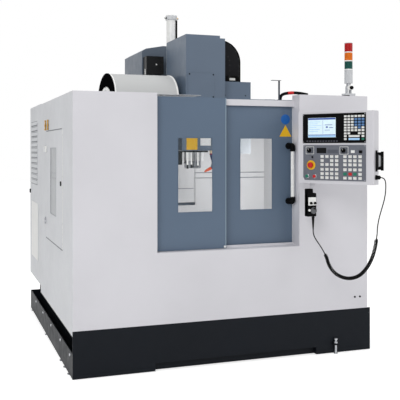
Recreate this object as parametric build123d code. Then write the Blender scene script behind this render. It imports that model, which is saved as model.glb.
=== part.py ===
from build123d import *
import math
import os

os.makedirs("parts", exist_ok=True)

# All lengths are millimetres. X runs along the front, Y runs to the back, Z is up.

# General: sheet thickness, running fit of turned parts, and how far a cut passes a face
SHEET = 3.0
FIT = 0.05
PAST = 1.0

# Housing
HALF_WIDTH = 1187.5
RIGHT_INSET = 25.0
RIGHT_X = HALF_WIDTH - RIGHT_INSET
FRONT_Y = -967.0
SIDE_BACK_Y = 733.0
LEFT_TOP = 2005.0
RIGHT_RAISE = 15.0
RIGHT_TOP = LEFT_TOP + RIGHT_RAISE
SIDE_BOTTOM = 300.0
DOORWAY_LEFT = -578.5
DOORWAY_RIGHT = 559.5
APRON_TOP = 850.0
JAMB_DEPTH = 42.0
RETURN_Y = -846.0
RETURN_LENGTH = 340.0
TOP_FLANGE = 120.0
FOOT_FLANGE = 37.0
SIDE_FOOT_FLANGE = 60.0
SIDE_TOP_FLANGE = 20.0
SEAM_Y = 432.0
SEAM_WIDTH = 2.0
SEAM_DEPTH = 1.5

# Coolant tank
TANK_BACK_Y = 1513.0
TANK_WALL = 6.0
TANK_BOTTOM = 4.0
TRAY_TOP = 180.0
TANK_TOP = 330.0
FRONT_PLATE_TOP = TANK_TOP + TANK_WALL
LEDGE = 90.0
NOTCH_LEFT = -592.5
NOTCH_RIGHT = 706.5
NOTCH_TOP = 60.0
NOTCH_DEPTH = 40.0
WELL_GAP = 30.0
WELL_RISE = 40.0
LUG_LENGTH = 60.0
LUG_SETBACK = 200.0
PAD_R = 30.0
PAD_INSET = 17.5
PAD_FIRST = 150.0
PAD_FRONT_PITCH = 180.0
PAD_REAR_PITCH = 1000.0
JACK_X = 867.5
JACK_OUT = 17.0
JACK_R = 8.9
JACK_FOOT_R = 16.0
JACK_NUT_R = 15.0
JACK_HEAD_R = 14.0
JACK_HEAD = 12.0
JACK_TOP = 120.0
JACK_LUG_Z = 70.0
JACK_LUG_HALF = 22.0
JACK_LUG = 12.0

# Bed and column castings, with the spindle axis as their reference
SPINDLE_Y = -67.0
BED_HALF_WIDTH = 450.0
BED_FRONT = -600.0
BED_BACK = 1043.0
BED_BOTTOM = 110.0
BED_TOP = 600.0
BED_ROOF = 100.0
BED_END_WALL = 60.0
HOLLOW_INNER = 100.0
HOLLOW_OUTER = 360.0
FOOT_INSET_X = 70.0
FOOT_INSET_Y = 60.0
FOOT_DISC_R = 55.0
FOOT_DISC = 18.0
FOOT_STUD_R = 18.0
FOOT_NUT_R = 30.0
FOOT_NUT = 20.0
COLUMN_HALF_WIDTH = 330.0
COLUMN_FRONT = 393.0
COLUMN_TOP = 2541.0
SHOULDER_DROP = 54.0
SHOULDER_BREAK_IN = 39.0
SHOULDER_BREAK_DROP = 30.0
CROWN_HALF = 131.0
COLUMN_WALL = 40.0
COLUMN_WEB = 45.0
COLUMN_SOLE = 60.0
COLUMN_ROOF = 71.0
CHANNEL_HALF = 80.0
CHANNEL_BACK = 500.0
CHANNEL_DEPTH = 120.0
BEARING = 40.0
REAR_BEARING_Y = 410.0
BEARING_PROUD = 18.0
HEAD_BEARING_LOW = 1190.0
HEAD_BEARING_HIGH = 2225.0
RAIL_HALF = 17.5
RAIL_HEIGHT = 30.0
RUNNER_GAP = 0.4
BED_RAIL_X = 300.0
BED_RAIL_FRONT = BED_FRONT + 40.0
BED_RAIL_BACK = COLUMN_FRONT - 13.0
COLUMN_RAIL_X = 130.0
COLUMN_RAIL_LOW = 1120.0
COLUMN_RAIL_HIGH = 2190.0

# Motors and the drive unit beside the column
MOTOR_BODY_SHARE = 0.72
MOTOR_CAP_SHARE = 0.8
MOTOR_PLUG_START = 0.45
MOTOR_PLUG_END = 0.65
MOTOR_PLUG_SHARE = 0.3
MOTOR_PLUG = 6.0
BED_MOTOR_LENGTH = 190.0
HEAD_MOTOR_LENGTH = 255.0
FEED_MOTOR_SIZE = 110.0
TABLE_MOTOR_LENGTH = 140.0
TABLE_MOTOR_SIZE = 112.0
DRIVE_LEFT = -317.0
DRIVE_WIDTH = 160.0
DRIVE_DEPTH = 110.0
DRIVE_Z = 2270.0
DRIVE_RIM = 16.0
DRIVE_RECESS = 3.0

# Work area
GUARD_HALF_WIDTH = 857.0
GUARD_FRONT = -800.0
GUARD_BACK = 336.0
GUARD_LEFT_BACK = 308.0
GUARD_FRONT_FOOT = 560.0
CHIP_SLOPE_TOP = 640.0
CHIP_SLOPE_FOOT = 557.0
HEAD_GAP_HALF = 160.0
HEAD_GAP_BOTTOM = 1085.0
RAIL_NOTCH_HALF = 22.0
RIB_HEIGHT = 6.0
RIB_PROUD = 6.0
RIGHT_RIB_LOW = 1337.0
RIGHT_RIB_HIGH = 1385.0
LEFT_RIB = 1290.0
DECK_HOLE_HALF = 700.0
DECK_REAR_HOLE_HALF = 470.0
DECK_HOLE_STOP = 20.0

# Saddle and table
SADDLE_HALF_WIDTH = 500.0
SADDLE_HALF_DEPTH = 230.0
SADDLE_BOTTOM = 636.0
SADDLE_TOP = 736.0
SADDLE_GROOVE_HALF = 70.0
SADDLE_GROOVE = 70.0
SADDLE_RAIL_HEIGHT = 26.0
SADDLE_RAIL_Y = 160.0
SADDLE_RAIL_HALF = 490.0
RUNNER_HALF_WIDTH = 36.0
RUNNER_HALF_LENGTH = 55.0
RUNNER_SPACING = 120.0
RUNNER_LIFT = 3.0
NUT_HALF = 48.0
NUT_LENGTH_HALF = 50.0
NUT_BOTTOM = 505.0
TABLE_HALF_WIDTH = 450.0
TABLE_HALF_DEPTH = 210.0
TABLE_BOTTOM = 776.0
TABLE_TOP = 856.0
TABLE_RUNNER_X = 95.0
TABLE_RUNNER_HALF = 45.0
TABLE_RUNNER_LIFT = 2.0
TABLE_NUT_HALF = 45.0
TABLE_NUT_BOTTOM = 670.0
T_SLOT_PITCH = 125.0
T_SLOT_WIDTH = 18.0
T_SLOT_BASE_WIDTH = 30.0
T_SLOT_DEPTH = 30.0
T_SLOT_BASE_HEIGHT = 12.0

# Screws
BED_SCREW_Z = 560.0
BED_SCREW_R = 20.0
BED_SCREW_END = 455.0
TABLE_SCREW_Z = 704.0
TABLE_SCREW_R = 16.0
TABLE_SCREW_LEFT = 495.0
HEAD_SCREW_Y = 410.0
HEAD_SCREW_R = 20.0
SCREW_END_GAP = 1.0

# Head
HEAD_HALF_WIDTH = 170.0
COVER_FRONT = -392.0
COVER_BACK = 153.0
COVER_BOTTOM = 1587.0
COVER_TOP = 2534.0
COVER_STEP_X = 125.0
COVER_STEP = 21.0
COVER_STEP_TOP = COVER_TOP - COVER_STEP
ACCESS_LEFT = -153.0
ACCESS_RIGHT = 77.0
ACCESS_BOTTOM = 2015.0
ACCESS_TOP = 2222.0
COVER_PAD_FRONT = -120.0
COVER_PAD = 60.0
COVER_PAD_HEIGHT = 40.0
COVER_PAD_LOW = 1700.0
COVER_PAD_HIGH = 2080.0
MANIFOLD_WIDTH = 26.0
MANIFOLD_FRONT = -277.0
MANIFOLD_DEPTH = 70.0
MANIFOLD_HEIGHT = 100.0
CASTING_HALF_WIDTH = 150.0
CASTING_FRONT = -250.0
CASTING_BACK = 357.0
CASTING_BOTTOM = 1600.0
CASTING_TOP = 2150.0
HEAD_RUNNER_HALF = 35.0
HEAD_RUNNER_BACK = 389.0
HEAD_RUNNER_HEIGHT = 90.0
HEAD_RUNNER_LOW = 1640.0
HEAD_RUNNER_HIGH = 2040.0
HEAD_NUT_HALF = 45.0
HEAD_NUT_BACK = 450.0
HEAD_NUT_Z = 1790.0
HEAD_NUT_HEIGHT = 120.0
WAY_COVER_HALF = 186.0
WAY_COVER_Y = 340.0
WAY_COVER_BOTTOM = 1110.0
WAY_COVER_LEDGE_HALF = 140.0
WAY_COVER_LEDGE = 4.0
NOSE_BOTTOM = 1436.0
NOSE_R = 70.0
NOSE_GAP = 0.5
HOUSING_BOTTOM = 1500.0
HOUSING_R = 92.0
SPINDLE_R = 50.0
SPINDLE_TOP = 1900.0
SPINDLE_BORE_SPACE = 5.0
TAPER_MOUTH_R = 22.2
TAPER_END_R = 12.3
TAPER_DEPTH = 68.0
DRIVE_KEY_X = 48.0
DRIVE_KEY_LENGTH = 20.0
DRIVE_KEY_WIDTH = 16.0
DRIVE_KEY_HEIGHT = 4.0
MAIN_MOTOR_HALF = 100.0
MAIN_MOTOR_HEIGHT = 250.0
MAIN_MOTOR_FAN_R = 85.0
MAIN_MOTOR_FAN = 80.0

# Tool release cylinder
BOOSTER_X = -110.0
BOOSTER_Y = 205.0
BOOSTER_TOP = 2786.0
BOOSTER_R = 43.0
BOOSTER_CAP_R = 50.0
BOOSTER_CAP = 40.0
FITTING_Y = 10.0
FITTING_DROP = 24.0
FITTING_START = 48.0
FITTING_R = 9.0
FITTING_LENGTH = 14.0
UNION_R = 8.0
UNION_LENGTH = 16.0
SIDE_ROD_X = 38.0
SIDE_ROD_Y = 34.0
SIDE_ROD_R = 7.0

# Coolant pipes under the head
PIPE_Y = -330.0
PIPE_PLATE = 10.0
PIPE_BORE_R = 93.0
PIPE_THIN_R = 4.0
PIPE_THICK_R = 5.0
PIPE_LENGTH = 128.0
PIPES = ((-158, 12, PIPE_THICK_R), (-136, 17, PIPE_THIN_R), (-102, 0, PIPE_THIN_R),
         (-75, -8, PIPE_THICK_R), (-46, 8, PIPE_THIN_R), (-28, -2, PIPE_THICK_R))
HOSE_LINE = ((0, 0, 0), (0, 0, 45), (15, 8, 95), (-3, 16, 138), (-31, 22, 162))
HOSE_X = 69.0
HOSE_R = 8.0
HOSE_BEND_R = 22.0
HOSE_SOCKET_R = 11.0
HOSE_SOCKET = 34.0

# Energy chain and its trough
CHAIN_WIDTH = 110.0
CHAIN_DEPTH = 60.0
CHAIN_BEND = 130.0
CHAIN_Y = -217.0
CHAIN_PLATE = 8.0
CHAIN_INSET = 6.0
CHAIN_EDGE = 1.0
CHAIN_START_X = HEAD_HALF_WIDTH + 10.0
CHAIN_END_TOP = COVER_STEP_TOP - CHAIN_EDGE
CHAIN_BEND_Z = CHAIN_END_TOP + CHAIN_PLATE - CHAIN_WIDTH / 2 - CHAIN_BEND
CHAIN_PITCH = 47.0
CHAIN_LINK_SHARE = 0.55
CHAIN_BEND_LINKS = 4
TROUGH_WALL = 5.0
TROUGH_LEFT = HEAD_HALF_WIDTH + 14.0
TROUGH_RIGHT = TROUGH_LEFT + 234.0
TROUGH_BOTTOM = 1560.0
TROUGH_TOP = 2168.0
TROUGH_FRONT = CHAIN_Y - 83.0
TROUGH_BACK = CHAIN_Y + 87.0
TROUGH_FLANGE = 22.0
TROUGH_ARM_X = 300.0
TROUGH_ARM = 6.0
TROUGH_ARM_LOW = 2010.0
TROUGH_ARM_HIGH = 2150.0
TROUGH_FOOT_X = 268.0
CHAIN_DIP = 68.0
CHAIN_END_Z = TROUGH_TOP - CHAIN_DIP

# Tool magazine and its hood
MAGAZINE_X = -494.5
PITCH_R = 245.0
POT_COUNT = 16
LOADED_POTS = (1, 4, 6, 9, 14)
GRIP_Z = 1350.0
GRIP_THICKNESS = 12.0
FINGER_START = 180.0
FINGER_REACH = 30.0
FINGER_WIDTH = 11.0
FINGER_GAP = 0.3
DISC_R = 190.0
HUB_R = 72.0
HUB_LOW = 14.0
HUB_HIGH = 44.0
HOLDER_NECK_R = 28.0
HOLDER_FLANGE_R = 31.5
HOLDER_FLANGE = 8.0
HOLDER_COLLAR = 10.0
HOLDER_TAPER_BASE_R = 22.0
HOLDER_TAPER_TIP_R = 13.0
HOLDER_TAPER = 56.0
CHUCK_R = 20.0
CHUCK_LENGTH = 69.0
CUTTER_R = 8.0
CUTTER_LENGTH = 70.0
ARCH_LEFT = -762.5
ARCH_RIGHT = -226.5
ARCH_HALF_SPAN = 310.0
ARCH_RISE = 215.0
ARCH_RIM = 8.0
ARCH_RIM_PROUD = 4.0
ARCH_SHELF = 15.0
BUMP_R = 10.0
BUMP_LENGTH = 12.0
BUMP_Y = 20.0
BUMP_RISE = 110.0
MAGAZINE_RAIL_Z = 1900.0
MAGAZINE_RAIL_Y = 200.0
MAGAZINE_RAIL_LEFT = -850.0
MAGAZINE_RAIL_RIGHT = -205.0
MAGAZINE_RAIL_HALF = 15.0
MAGAZINE_RAIL_HEIGHT = 40.0
MAGAZINE_WEB_HALF = 10.0
ROOF_RIGHT = -202.5
ROOF_REAR_RIGHT = -340.0
ROOF_HOLE_HALF = 280.0
CARRIAGE_LEFT = -730.0
CARRIAGE_RIGHT = -440.0
CARRIAGE_HALF_DEPTH = 235.0
CARRIAGE_PLATE = 15.0
CARRIAGE_DROP = 35.0
CARRIAGE_RUNNER_X = (-690.0, -490.0)
CARRIAGE_RUNNER_HALF = 40.0
CARRIAGE_RUNNER_RISE = 30.0
CARRIAGE_POST_R = 54.0
CARRIAGE_POST_Z = 1400.0
PIVOT_R = 25.0
PIVOT_BOTTOM = 1332.0
PIVOT_CAP_R = 40.0
PIVOT_CAP = 10.0
MAGAZINE_MOTOR_X = -640.0
MAGAZINE_MOTOR_FOOT_R = 62.0
MAGAZINE_MOTOR_FOOT = 60.0
MAGAZINE_MOTOR_R = 52.0
MAGAZINE_MOTOR = 180.0

# Sliding doors
LEAF_THICKNESS = 30.0
LEAF_BOTTOM = APRON_TOP + 5.0
LEAF_TOP = 1984.0
LEFT_LEAF_Y = -912.0
RIGHT_LEAF_Y = RETURN_Y
LEAF_OVERLAP = 33.0
LEAF_MEET_X = -57.5
LEAF_EDGE_GAP = 2.0
LEFT_GLASS_X = (-403.5, -137.5)
RIGHT_GLASS_X = (117.5, 382.5)
GLASS_BOTTOM = 1135.0
GLASS_TOP = 1680.0
GLASS_THICKNESS = 6.0
GLASS_LIP = 15.0
GLASS_EDGE_GAP = 1.0
FRAME_DEPTH = 14.0
RAIL_FRONT = -877.0
RAIL_BACK = -852.0
RAIL_BOTTOM = 1931.0
RAIL_TOP = 1978.0
HOOK_GAP = 0.1
HOOK_HALF = 40.0
HOOK_OVER = 11.0
HANGER_INSET = 97.0
RIGHT_HANGER_INSET = 77.5
BRACKET_CLEAR = 24.0
SILL_BACK = -800.0
GUIDE_RIB_Y = -866.0
GUIDE_RIB_HEIGHT = 20.0
FRAME_POST = 25.0
HANDLE_INSET = 26.0
HANDLE_Y = -906.0
HANDLE_R = 14.0
ELBOW_WIDTH = 45.0
ELBOW_DEPTH = 37.0
ELBOW_LOW = 1158.0
ELBOW_LOW_HEIGHT = 70.0
ELBOW_HIGH = 1581.0
ELBOW_HIGH_HEIGHT = 76.0
ELBOW_FOOT_WIDTH = 40.0
ELBOW_STEP = 6.0
GRIP_BOTTOM = 1200.0
GRIP_TOP = 1615.0

# Left side door
SIDE_DOOR_Y = (-522.0, 380.0)
SIDE_DOOR_Z = (844.0, 1749.0)
SIDE_DOOR_THICKNESS = 25.0
SIDE_GLASS_Y = (-195.0, 106.0)
SIDE_GLASS_Z = (1069.0, 1606.0)
DOOR_GAP = 3.0
STOP_DEPTH = 30.0
STOP_WIDTH = 25.0
LOCK_Y = 75.0
LOCK_Z = 1337.0
LOCK_R = 16.0
LOCK_HEIGHT = 7.0
LOCK_BAR_HALF = 11.0
LOCK_BAR_WIDTH = 10.0
LOCK_BAR = 5.0
HINGE_OUT = 8.0
HINGE_PAST_EDGE = 15.0
HINGE_Z = (982.0, 1600.0)
HINGE_R = 7.0
HINGE_PIN_R = 4.0
HINGE_KNUCKLE = 18.0
HINGE_END_GAP = 0.5
HINGE_LEAF = 4.0
HINGE_LEAF_REACH = 36.0
HINGE_DOOR_REACH = 43.0
HINGE_PAD = 22.0

# Electrical cabinet
CABINET_RIGHT = -460.0
CABINET_BACK = 1550.0
CABINET_BOTTOM = 360.0
CABINET_TOP = LEFT_TOP + 5.0
CABINET_FRAME = 22.0
CABINET_LIP = 30.0
CABINET_DOOR_THICKNESS = 22.0
CABINET_LEG = 60.0
CABINET_LEG_INSET = 30.0
CABINET_LEG_MARGIN = 97.5
CABINET_HINGE_INSET = 16.5
CABINET_HINGE_OUT = 6.0
CABINET_HINGE_Z = (700.0, 1650.0)
CABINET_HINGE_R = 6.0
CABINET_KNUCKLE = 25.0
CABINET_HINGE_LEAF = 2.0
CABINET_HINGE_PAD = 30.0
ISOLATOR_INSET = 77.5
ISOLATOR_Z = 1178.0
ISOLATOR_SHAFT_R = 9.0
ISOLATOR_R = 32.0
ISOLATOR_DEPTH = 14.0
ISOLATOR_BAR = 23.0
ISOLATOR_BAR_HALF = 30.0
ISOLATOR_DEPTH_IN = 12.0
ISOLATOR_GAP = 0.5
LOUVRE_COUNT = 12
LOUVRE_FRONT = 976.0
LOUVRE_BACK = 1457.0
LOUVRE_BOTTOM = 1260.0
LOUVRE_TOP = 1872.0
LOUVRE_PROUD = 9.0
LOUVRE_LIP = 8.0
LOUVRE_LENGTH = 30.0
PLATE_FRONT = 916.0
PLATE_BACK = 1415.0
PLATE_BOTTOM = 552.0
PLATE_TOP = 1089.0
PLATE_PROUD = 2.0
CABLE_WINDOW_FRONT = 1200.0
CABLE_WINDOW_LENGTH = 200.0
CABLE_WINDOW_Z = 1880.0
CABLE_WINDOW_HEIGHT = 60.0
GEAR_PLATE_OUT = 40.0
GEAR_PLATE = 4.0
GEAR_MARGIN = 90.0
GEAR_BOTTOM = 480.0
GEAR_TOP = 1890.0
GEAR_STANDOFF = 30.0
GEAR_COLUMNS = 3
GEAR_ROWS = 4
GEAR_FILL = 0.8
GEAR_DEPTH = 150.0

# Roof bracket and signal light
BRACKET_RIGHT = 449.0
BRACKET_FOOT = 25.0
BRACKET_FOOT_HEIGHT = 6.0
BRACKET_POST_INSET = 12.0
BRACKET_ARM = 79.0
BRACKET_TOP = 2134.0
LIGHT_INSET = 135.0
LIGHT_X = RIGHT_X - LIGHT_INSET
LIGHT_Y = FRONT_Y + 60.0
LIGHT_R = 32.5
LIGHT_CORE_R = 20.0
LIGHT_WAIST = 2.0
LIGHT_BASE_HALF = 42.0
LIGHT_BASE_HALF_DEPTH = 35.0
LIGHT_BASE = 22.0
LIGHT_PIVOT_Z = 2089.0
LIGHT_PIN_R = 6.0
LIGHT_FORK_X = 16.0
LIGHT_FORK_HALF = 4.0
LIGHT_FORK_R = 16.0
LIGHT_TONGUE_HALF = 11.5
LIGHT_TONGUE_R = 14.0
LIGHT_PIN_LEFT = 22.0
LIGHT_PIN_RIGHT = 24.0
LIGHT_KNOB_START = 21.0
LIGHT_KNOB_END = 38.0
LIGHT_KNOB_R = 13.0
LIGHT_BODY_LOW = 2124.0
LIGHT_BODY_TOP = 2230.0
LENS_COUNT = 3
LENS_GAP = 6.0
LENS_HEIGHT = 63.0
TOP_LENS_EXTRA = 9.0

# Console, drawn square to the axes and then turned about Z
CONSOLE_CORNER = (508.5, -1043.0)
CONSOLE_TURN = -56.83
CONSOLE_WIDTH = 610.0
CONSOLE_DEPTH = 92.0
CONSOLE_Z = (1343.0, 1875.0)
CONSOLE_CORNER_R = 6.0
CONSOLE_PIN = (-10.0, 96.0)
CONSOLE_PIN_R = 6.0
CONSOLE_BARREL_R = 10.0
BRACKET_LOW = 96.0
BRACKET_HIGH = 126.0
BRACKET_HEIGHT = 30.0
BRACKET_BEHIND = 8.0
BRACKET_REACH = 40.0
CONSOLE_KNUCKLE = 15.0
CONSOLE_KNUCKLE_GAP = 0.5
CONSOLE_KNUCKLE_T = 26.0
FACE_PLATE = 5.0
FACE_LAP = 14.0
SCREEN_T = (44.0, 553.0)
SCREEN_Z = (1644.0, 1861.0)
SCREEN_DEPTH = 60.0
PANEL_T = (48.0, 553.0)
PANEL_Z = (1368.0, 1629.0)
PANEL_DEPTH = 50.0
PANEL_CUT_T = 12.0
PANEL_CUT_Z = 22.0
REAR_INSET = 16.0
GLASS_T = (87.0, 317.0)
GLASS_Z = (1685.0, 1832.0)
GLASS_SINK = 3.0
KEY_LIFT = 3.0
KEY_SIZE = (20.0, 13.0)
KEY_T = 344.0
KEY_Z = 1845.0
KEY_PITCH_T = 36.5
KEY_PITCH_Z = 21.5
KEY_COLUMNS = 6
KEY_FULL_ROWS = 6
SOFT_KEY_SIZE = (18.0, 12.0)
SOFT_KEY_T = 100.0
SOFT_KEY_Z = 1665.0
SOFT_KEY_PITCH = 34.0
SOFT_KEYS = 7
PANEL_KEY_SIZE = (22.0, 15.0)
PANEL_KEY_LIFT = 4.0
PANEL_KEY_Z = 1552.0
PANEL_KEY_DROP = 28.0
PANEL_KEY_ROWS = 6
PANEL_KEY_COLUMNS = 4
PANEL_LEFT_T = 206.0
PANEL_LEFT_PITCH = 36.0
PANEL_RIGHT_T = 388.0
PANEL_RIGHT_PITCH = 38.0
FEED_DIAL = (102.0, 1590.0)
MODE_DIAL = (381.0, 1589.0)
DIAL_FIELD = (60.0, 48.0)
LABEL_FIELD = (227.0, 1589.0)
LABEL_SIZE = (146.0, 42.0)
FIELD_LIFT = 1.0
OVAL_SWITCH = (450.0, 1578.0)
OVAL_SIZE = (26.0, 16.0)
OVAL_LIFT = 4.0
KEY_SWITCH = (512.0, 1582.0)
KEY_SWITCH_SIZE = (16.0, 16.0)
KEY_SWITCH_LIFT = 6.0
TOGGLE = (118.0, 1541.0)
TOGGLE_SIZE = (8.0, 16.0)
TOGGLE_LIFT = 8.0
ESTOP = (115.0, 1480.0)
ESTOP_RING_R = 35.0
ESTOP_RING = 2.0
ESTOP_R = 20.0
ESTOP_HEAD = 14.0
START = (83.0, 1397.0)
STOP = (145.0, 1397.0)
BUTTON_R = 12.0
BUTTON_HEAD = 3.0
BUTTON_STEM_R = 8.0
BUTTON_LIFT = 8.0
BUTTON_STEM = 20.0
CONTROL_BORE = 30.0
DIAL_SHAFT_R = 4.0
DIAL_R = 15.0
DIAL_LIFT = 1.0
DIAL_HEIGHT = 13.0
DIAL_WING = 6.0
DIAL_WING_HALF = 3.0
PULL_W = 46.0
PULL_PLATE = (34.0, 58.0)
PULL_PLATE_Z = (1439.0, 1590.0)
PULL_PLATE_THICKNESS = 5.0
PULL_ARM_R = 7.0
PULL_ARM = 35.0
PULL_ARM_Z = (1459.0, 1570.0)
PULL_GRIP_R = 10.0
PULL_GRIP_Z = (1447.0, 1582.0)
PULL_GRIP_OUT = 46.0

# Hand pendant
PENDANT_XY = (582.5, -1102.0)
PENDANT_SIZE = (76.0, 52.0)
PENDANT_Z = (1090.0, 1302.0)
PENDANT_CHAMFER = 5.0
PENDANT_KNOB_R = 8.0
PENDANT_KNOB = 14.0
PENDANT_KNOB_X = (-8.0, 20.0)
PENDANT_KNOB_Z = 1236.0
PENDANT_PLUG = 8.0
PENDANT_PLUG_Z = 1180.0
WHEEL_X = 10.0
WHEEL_Z = 1138.0
WHEEL_R = 24.0
WHEEL_THICKNESS = 11.0
WHEEL_GAP = 1.0
WHEEL_SHAFT_R = 5.0
WHEEL_SHAFT = 15.0
WHEEL_BORE = 20.0
CRANK_RISE = 15.0
CRANK_R = 4.0
CRANK = 14.0
HANGER_T = (80.0, 120.0)
HANGER_W = (36.0, 40.0)

# Pendant cord, in the plane CORD_W behind the console face
CORD_W = 42.0
LEAD_R = 4.0
CURL_R = 14.0
RELIEF_R = 7.0
RELIEF = 100.0
CORD_START_T = 106.0
ARC_SHARE = 0.45
CONNECTOR_Z = 1397.0
CONNECTOR_FLANGE_R = 17.0
CONNECTOR_FLANGE = 8.0
CONNECTOR_R = 14.0
CONNECTOR = 22.0
PENDANT_LEAD = [(CORD_START_T, 990), (106, 962), (121, 931), (146, 898), (177, 861), (203, 820)]
CURLY_CORD = [(203, 820), (219, 794.769), (229, 757), (256, 709), (308, 667), (392, 650), (477, 676),
              (542, 744), (585, 828), (606, 908), (614, 962)]
CONSOLE_LEAD = [(614, 962), (619, 995.75), (621, 1046), (634, 1112), (654, 1178), (673, 1240),
                (683, 1300), (684, 1350), (679, 1381), (662, CONNECTOR_Z), (640, CONNECTOR_Z)]


def block(x0, x1, y0, y1, z0, z1):
    """A box between two corners."""
    centre = Pos((x0 + x1) / 2, (y0 + y1) / 2, (z0 + z1) / 2)
    return centre * Box(x1 - x0, y1 - y0, z1 - z0)


def post(x, y, z0, z1, radius):
    """An upright round bar."""
    return Pos(x, y, (z0 + z1) / 2) * Cylinder(radius, z1 - z0)


def bar_x(x0, x1, y, z, radius):
    """A round bar along X."""
    return Pos((x0 + x1) / 2, y, z) * Rot(0, 90, 0) * Cylinder(radius, x1 - x0)


def bar_y(x, y0, y1, z, radius):
    """A round bar along Y."""
    return Pos(x, (y0 + y1) / 2, z) * Rot(90, 0, 0) * Cylinder(radius, y1 - y0)


def prism(corners, direction, length):
    """An outline of 3-D corners pushed along a direction."""
    face = make_face(Polyline(*corners, close=True))
    return extrude(face, amount=length, dir=direction)


def join(pieces):
    """Fuse a list of touching pieces."""
    result = pieces[0]
    for piece in pieces[1:]:
        result = result + piece
    return result


def save(name, *shapes):
    """Write one node with all its solids."""
    solids = [solid for shape in shapes for solid in shape.solids()]
    export_step(Compound(solids), f"parts/{name}.step")
    volume = sum(solid.volume for solid in solids) / 1e9
    print(f"{name}: {len(solids)} solids, {volume:.5f} m3")


def to_world(t, w):
    """World X and Y of a point on the turned console."""
    turn = math.radians(CONSOLE_TURN)
    x = CONSOLE_CORNER[0] + t * math.cos(turn) - w * math.sin(turn)
    y = CONSOLE_CORNER[1] + t * math.sin(turn) + w * math.cos(turn)
    return x, y


def on_console(shape):
    """Turn a shape drawn in console directions into place."""
    return Pos(CONSOLE_CORNER[0], CONSOLE_CORNER[1], 0) * Rot(0, 0, CONSOLE_TURN) * shape


def tank_pad_positions():
    """Positions of the small pads along both long sides of the tank."""
    rows = [FRONT_Y + PAD_FIRST + index * PAD_FRONT_PITCH for index in range(3)]
    rows += [TANK_BACK_Y - PAD_FIRST - index * PAD_REAR_PITCH for index in range(2)]
    return [(side * (HALF_WIDTH - PAD_INSET), y) for side in (-1, 1) for y in rows]


def side_plate(side, inner, outer, y0, y1, z0, z1):
    """A plate on one side of the machine, given by its distances from the middle."""
    low, high = sorted((side * inner, side * outer))
    return block(low, high, y0, y1, z0, z1)


def drip_tray(side):
    """Drip tray along one side of the tank, the tank's side wall and the ledge for the side sheet."""
    wall, outer = TANK_WALL, HALF_WIDTH
    inner = outer - LEDGE
    front, back = FRONT_Y + wall, TANK_BACK_Y
    floor = TANK_BOTTOM + wall
    return [side_plate(side, inner, outer, front, back, TANK_BOTTOM, floor),
            side_plate(side, outer - wall, outer, front, back, floor, TRAY_TOP),
            side_plate(side, inner, outer - wall, back - wall, back, floor, TRAY_TOP),
            side_plate(side, inner - wall, inner, front, back, TANK_BOTTOM, TANK_TOP - wall),
            side_plate(side, inner, outer, front, SIDE_BACK_Y, SIDE_BOTTOM - wall, SIDE_BOTTOM)]


def tank_floor(well_x, well_front, well_back):
    """Floor plates beside the notch, round the well and the rear wall of the tank."""
    wall = TANK_WALL
    edge = HALF_WIDTH - LEDGE - wall
    low, top = TANK_BOTTOM, TANK_BOTTOM + wall
    front, step, back = FRONT_Y + wall, FRONT_Y + NOTCH_DEPTH + wall, TANK_BACK_Y - wall
    plates = [block(-edge, NOTCH_LEFT - wall, front, step, low, top),
              block(NOTCH_RIGHT + wall, edge, front, step, low, top),
              block(-well_x, well_x, step, well_front, low, top),
              block(-well_x, well_x, well_back, back, low, top),
              block(-edge, edge, back, TANK_BACK_Y, low, TANK_TOP - wall)]
    return plates + [side_plate(side, well_x, edge, step, back, low, top) for side in (-1, 1)]


def tank_well(well_x, well_front, well_back):
    """Upright plates of the well that the bed stands in, with lugs against the bed."""
    wall, low, top = TANK_WALL, TANK_BOTTOM, BED_BOTTOM + WELL_RISE
    inner = well_x - wall
    plates = [block(-inner, inner, y, y + wall, low, top) for y in (well_front, well_back - wall)]
    for side in (-1, 1):
        plates.append(side_plate(side, inner, well_x, well_front, well_back, low, top))
        for y in (BED_FRONT + LUG_SETBACK, BED_BACK - LUG_SETBACK - LUG_LENGTH):
            plates.append(side_plate(side, BED_HALF_WIDTH, inner, y, y + LUG_LENGTH, BED_BOTTOM, top))
    return plates


def tank_front():
    """Front plate round its notch, the recess behind the notch and the lug of the jack screw."""
    wall, low = TANK_WALL, TANK_BOTTOM
    back = FRONT_Y + wall
    step = FRONT_Y + NOTCH_DEPTH
    left, right = NOTCH_LEFT - wall, NOTCH_RIGHT + wall
    lug_top = JACK_LUG_Z + JACK_LUG
    lug = block(JACK_X - JACK_LUG_HALF, JACK_X + JACK_LUG_HALF, FRONT_Y - 2 * JACK_OUT, FRONT_Y,
                JACK_LUG_Z, lug_top)
    return [block(-HALF_WIDTH, NOTCH_LEFT, FRONT_Y, back, low, FRONT_PLATE_TOP),
            block(NOTCH_RIGHT, HALF_WIDTH, FRONT_Y, back, low, FRONT_PLATE_TOP),
            block(NOTCH_LEFT, NOTCH_RIGHT, FRONT_Y, back, NOTCH_TOP, FRONT_PLATE_TOP),
            block(left, right, back, step + wall, NOTCH_TOP, NOTCH_TOP + wall),
            block(left, right, step, step + wall, low, NOTCH_TOP),
            block(left, NOTCH_LEFT, back, step, low, NOTCH_TOP),
            block(NOTCH_RIGHT, right, back, step, low, NOTCH_TOP),
            lug - post(JACK_X, FRONT_Y - JACK_OUT, JACK_LUG_Z - PAST, lug_top + PAST, JACK_R + FIT)]


def base_tank():
    """Coolant tank welded from plates, open on top, with a drip tray along each side."""
    well = (BED_HALF_WIDTH + WELL_GAP, BED_FRONT - WELL_GAP, BED_BACK + WELL_GAP)
    return drip_tray(-1) + drip_tray(1) + tank_floor(*well) + tank_well(*well) + tank_front()


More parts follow.
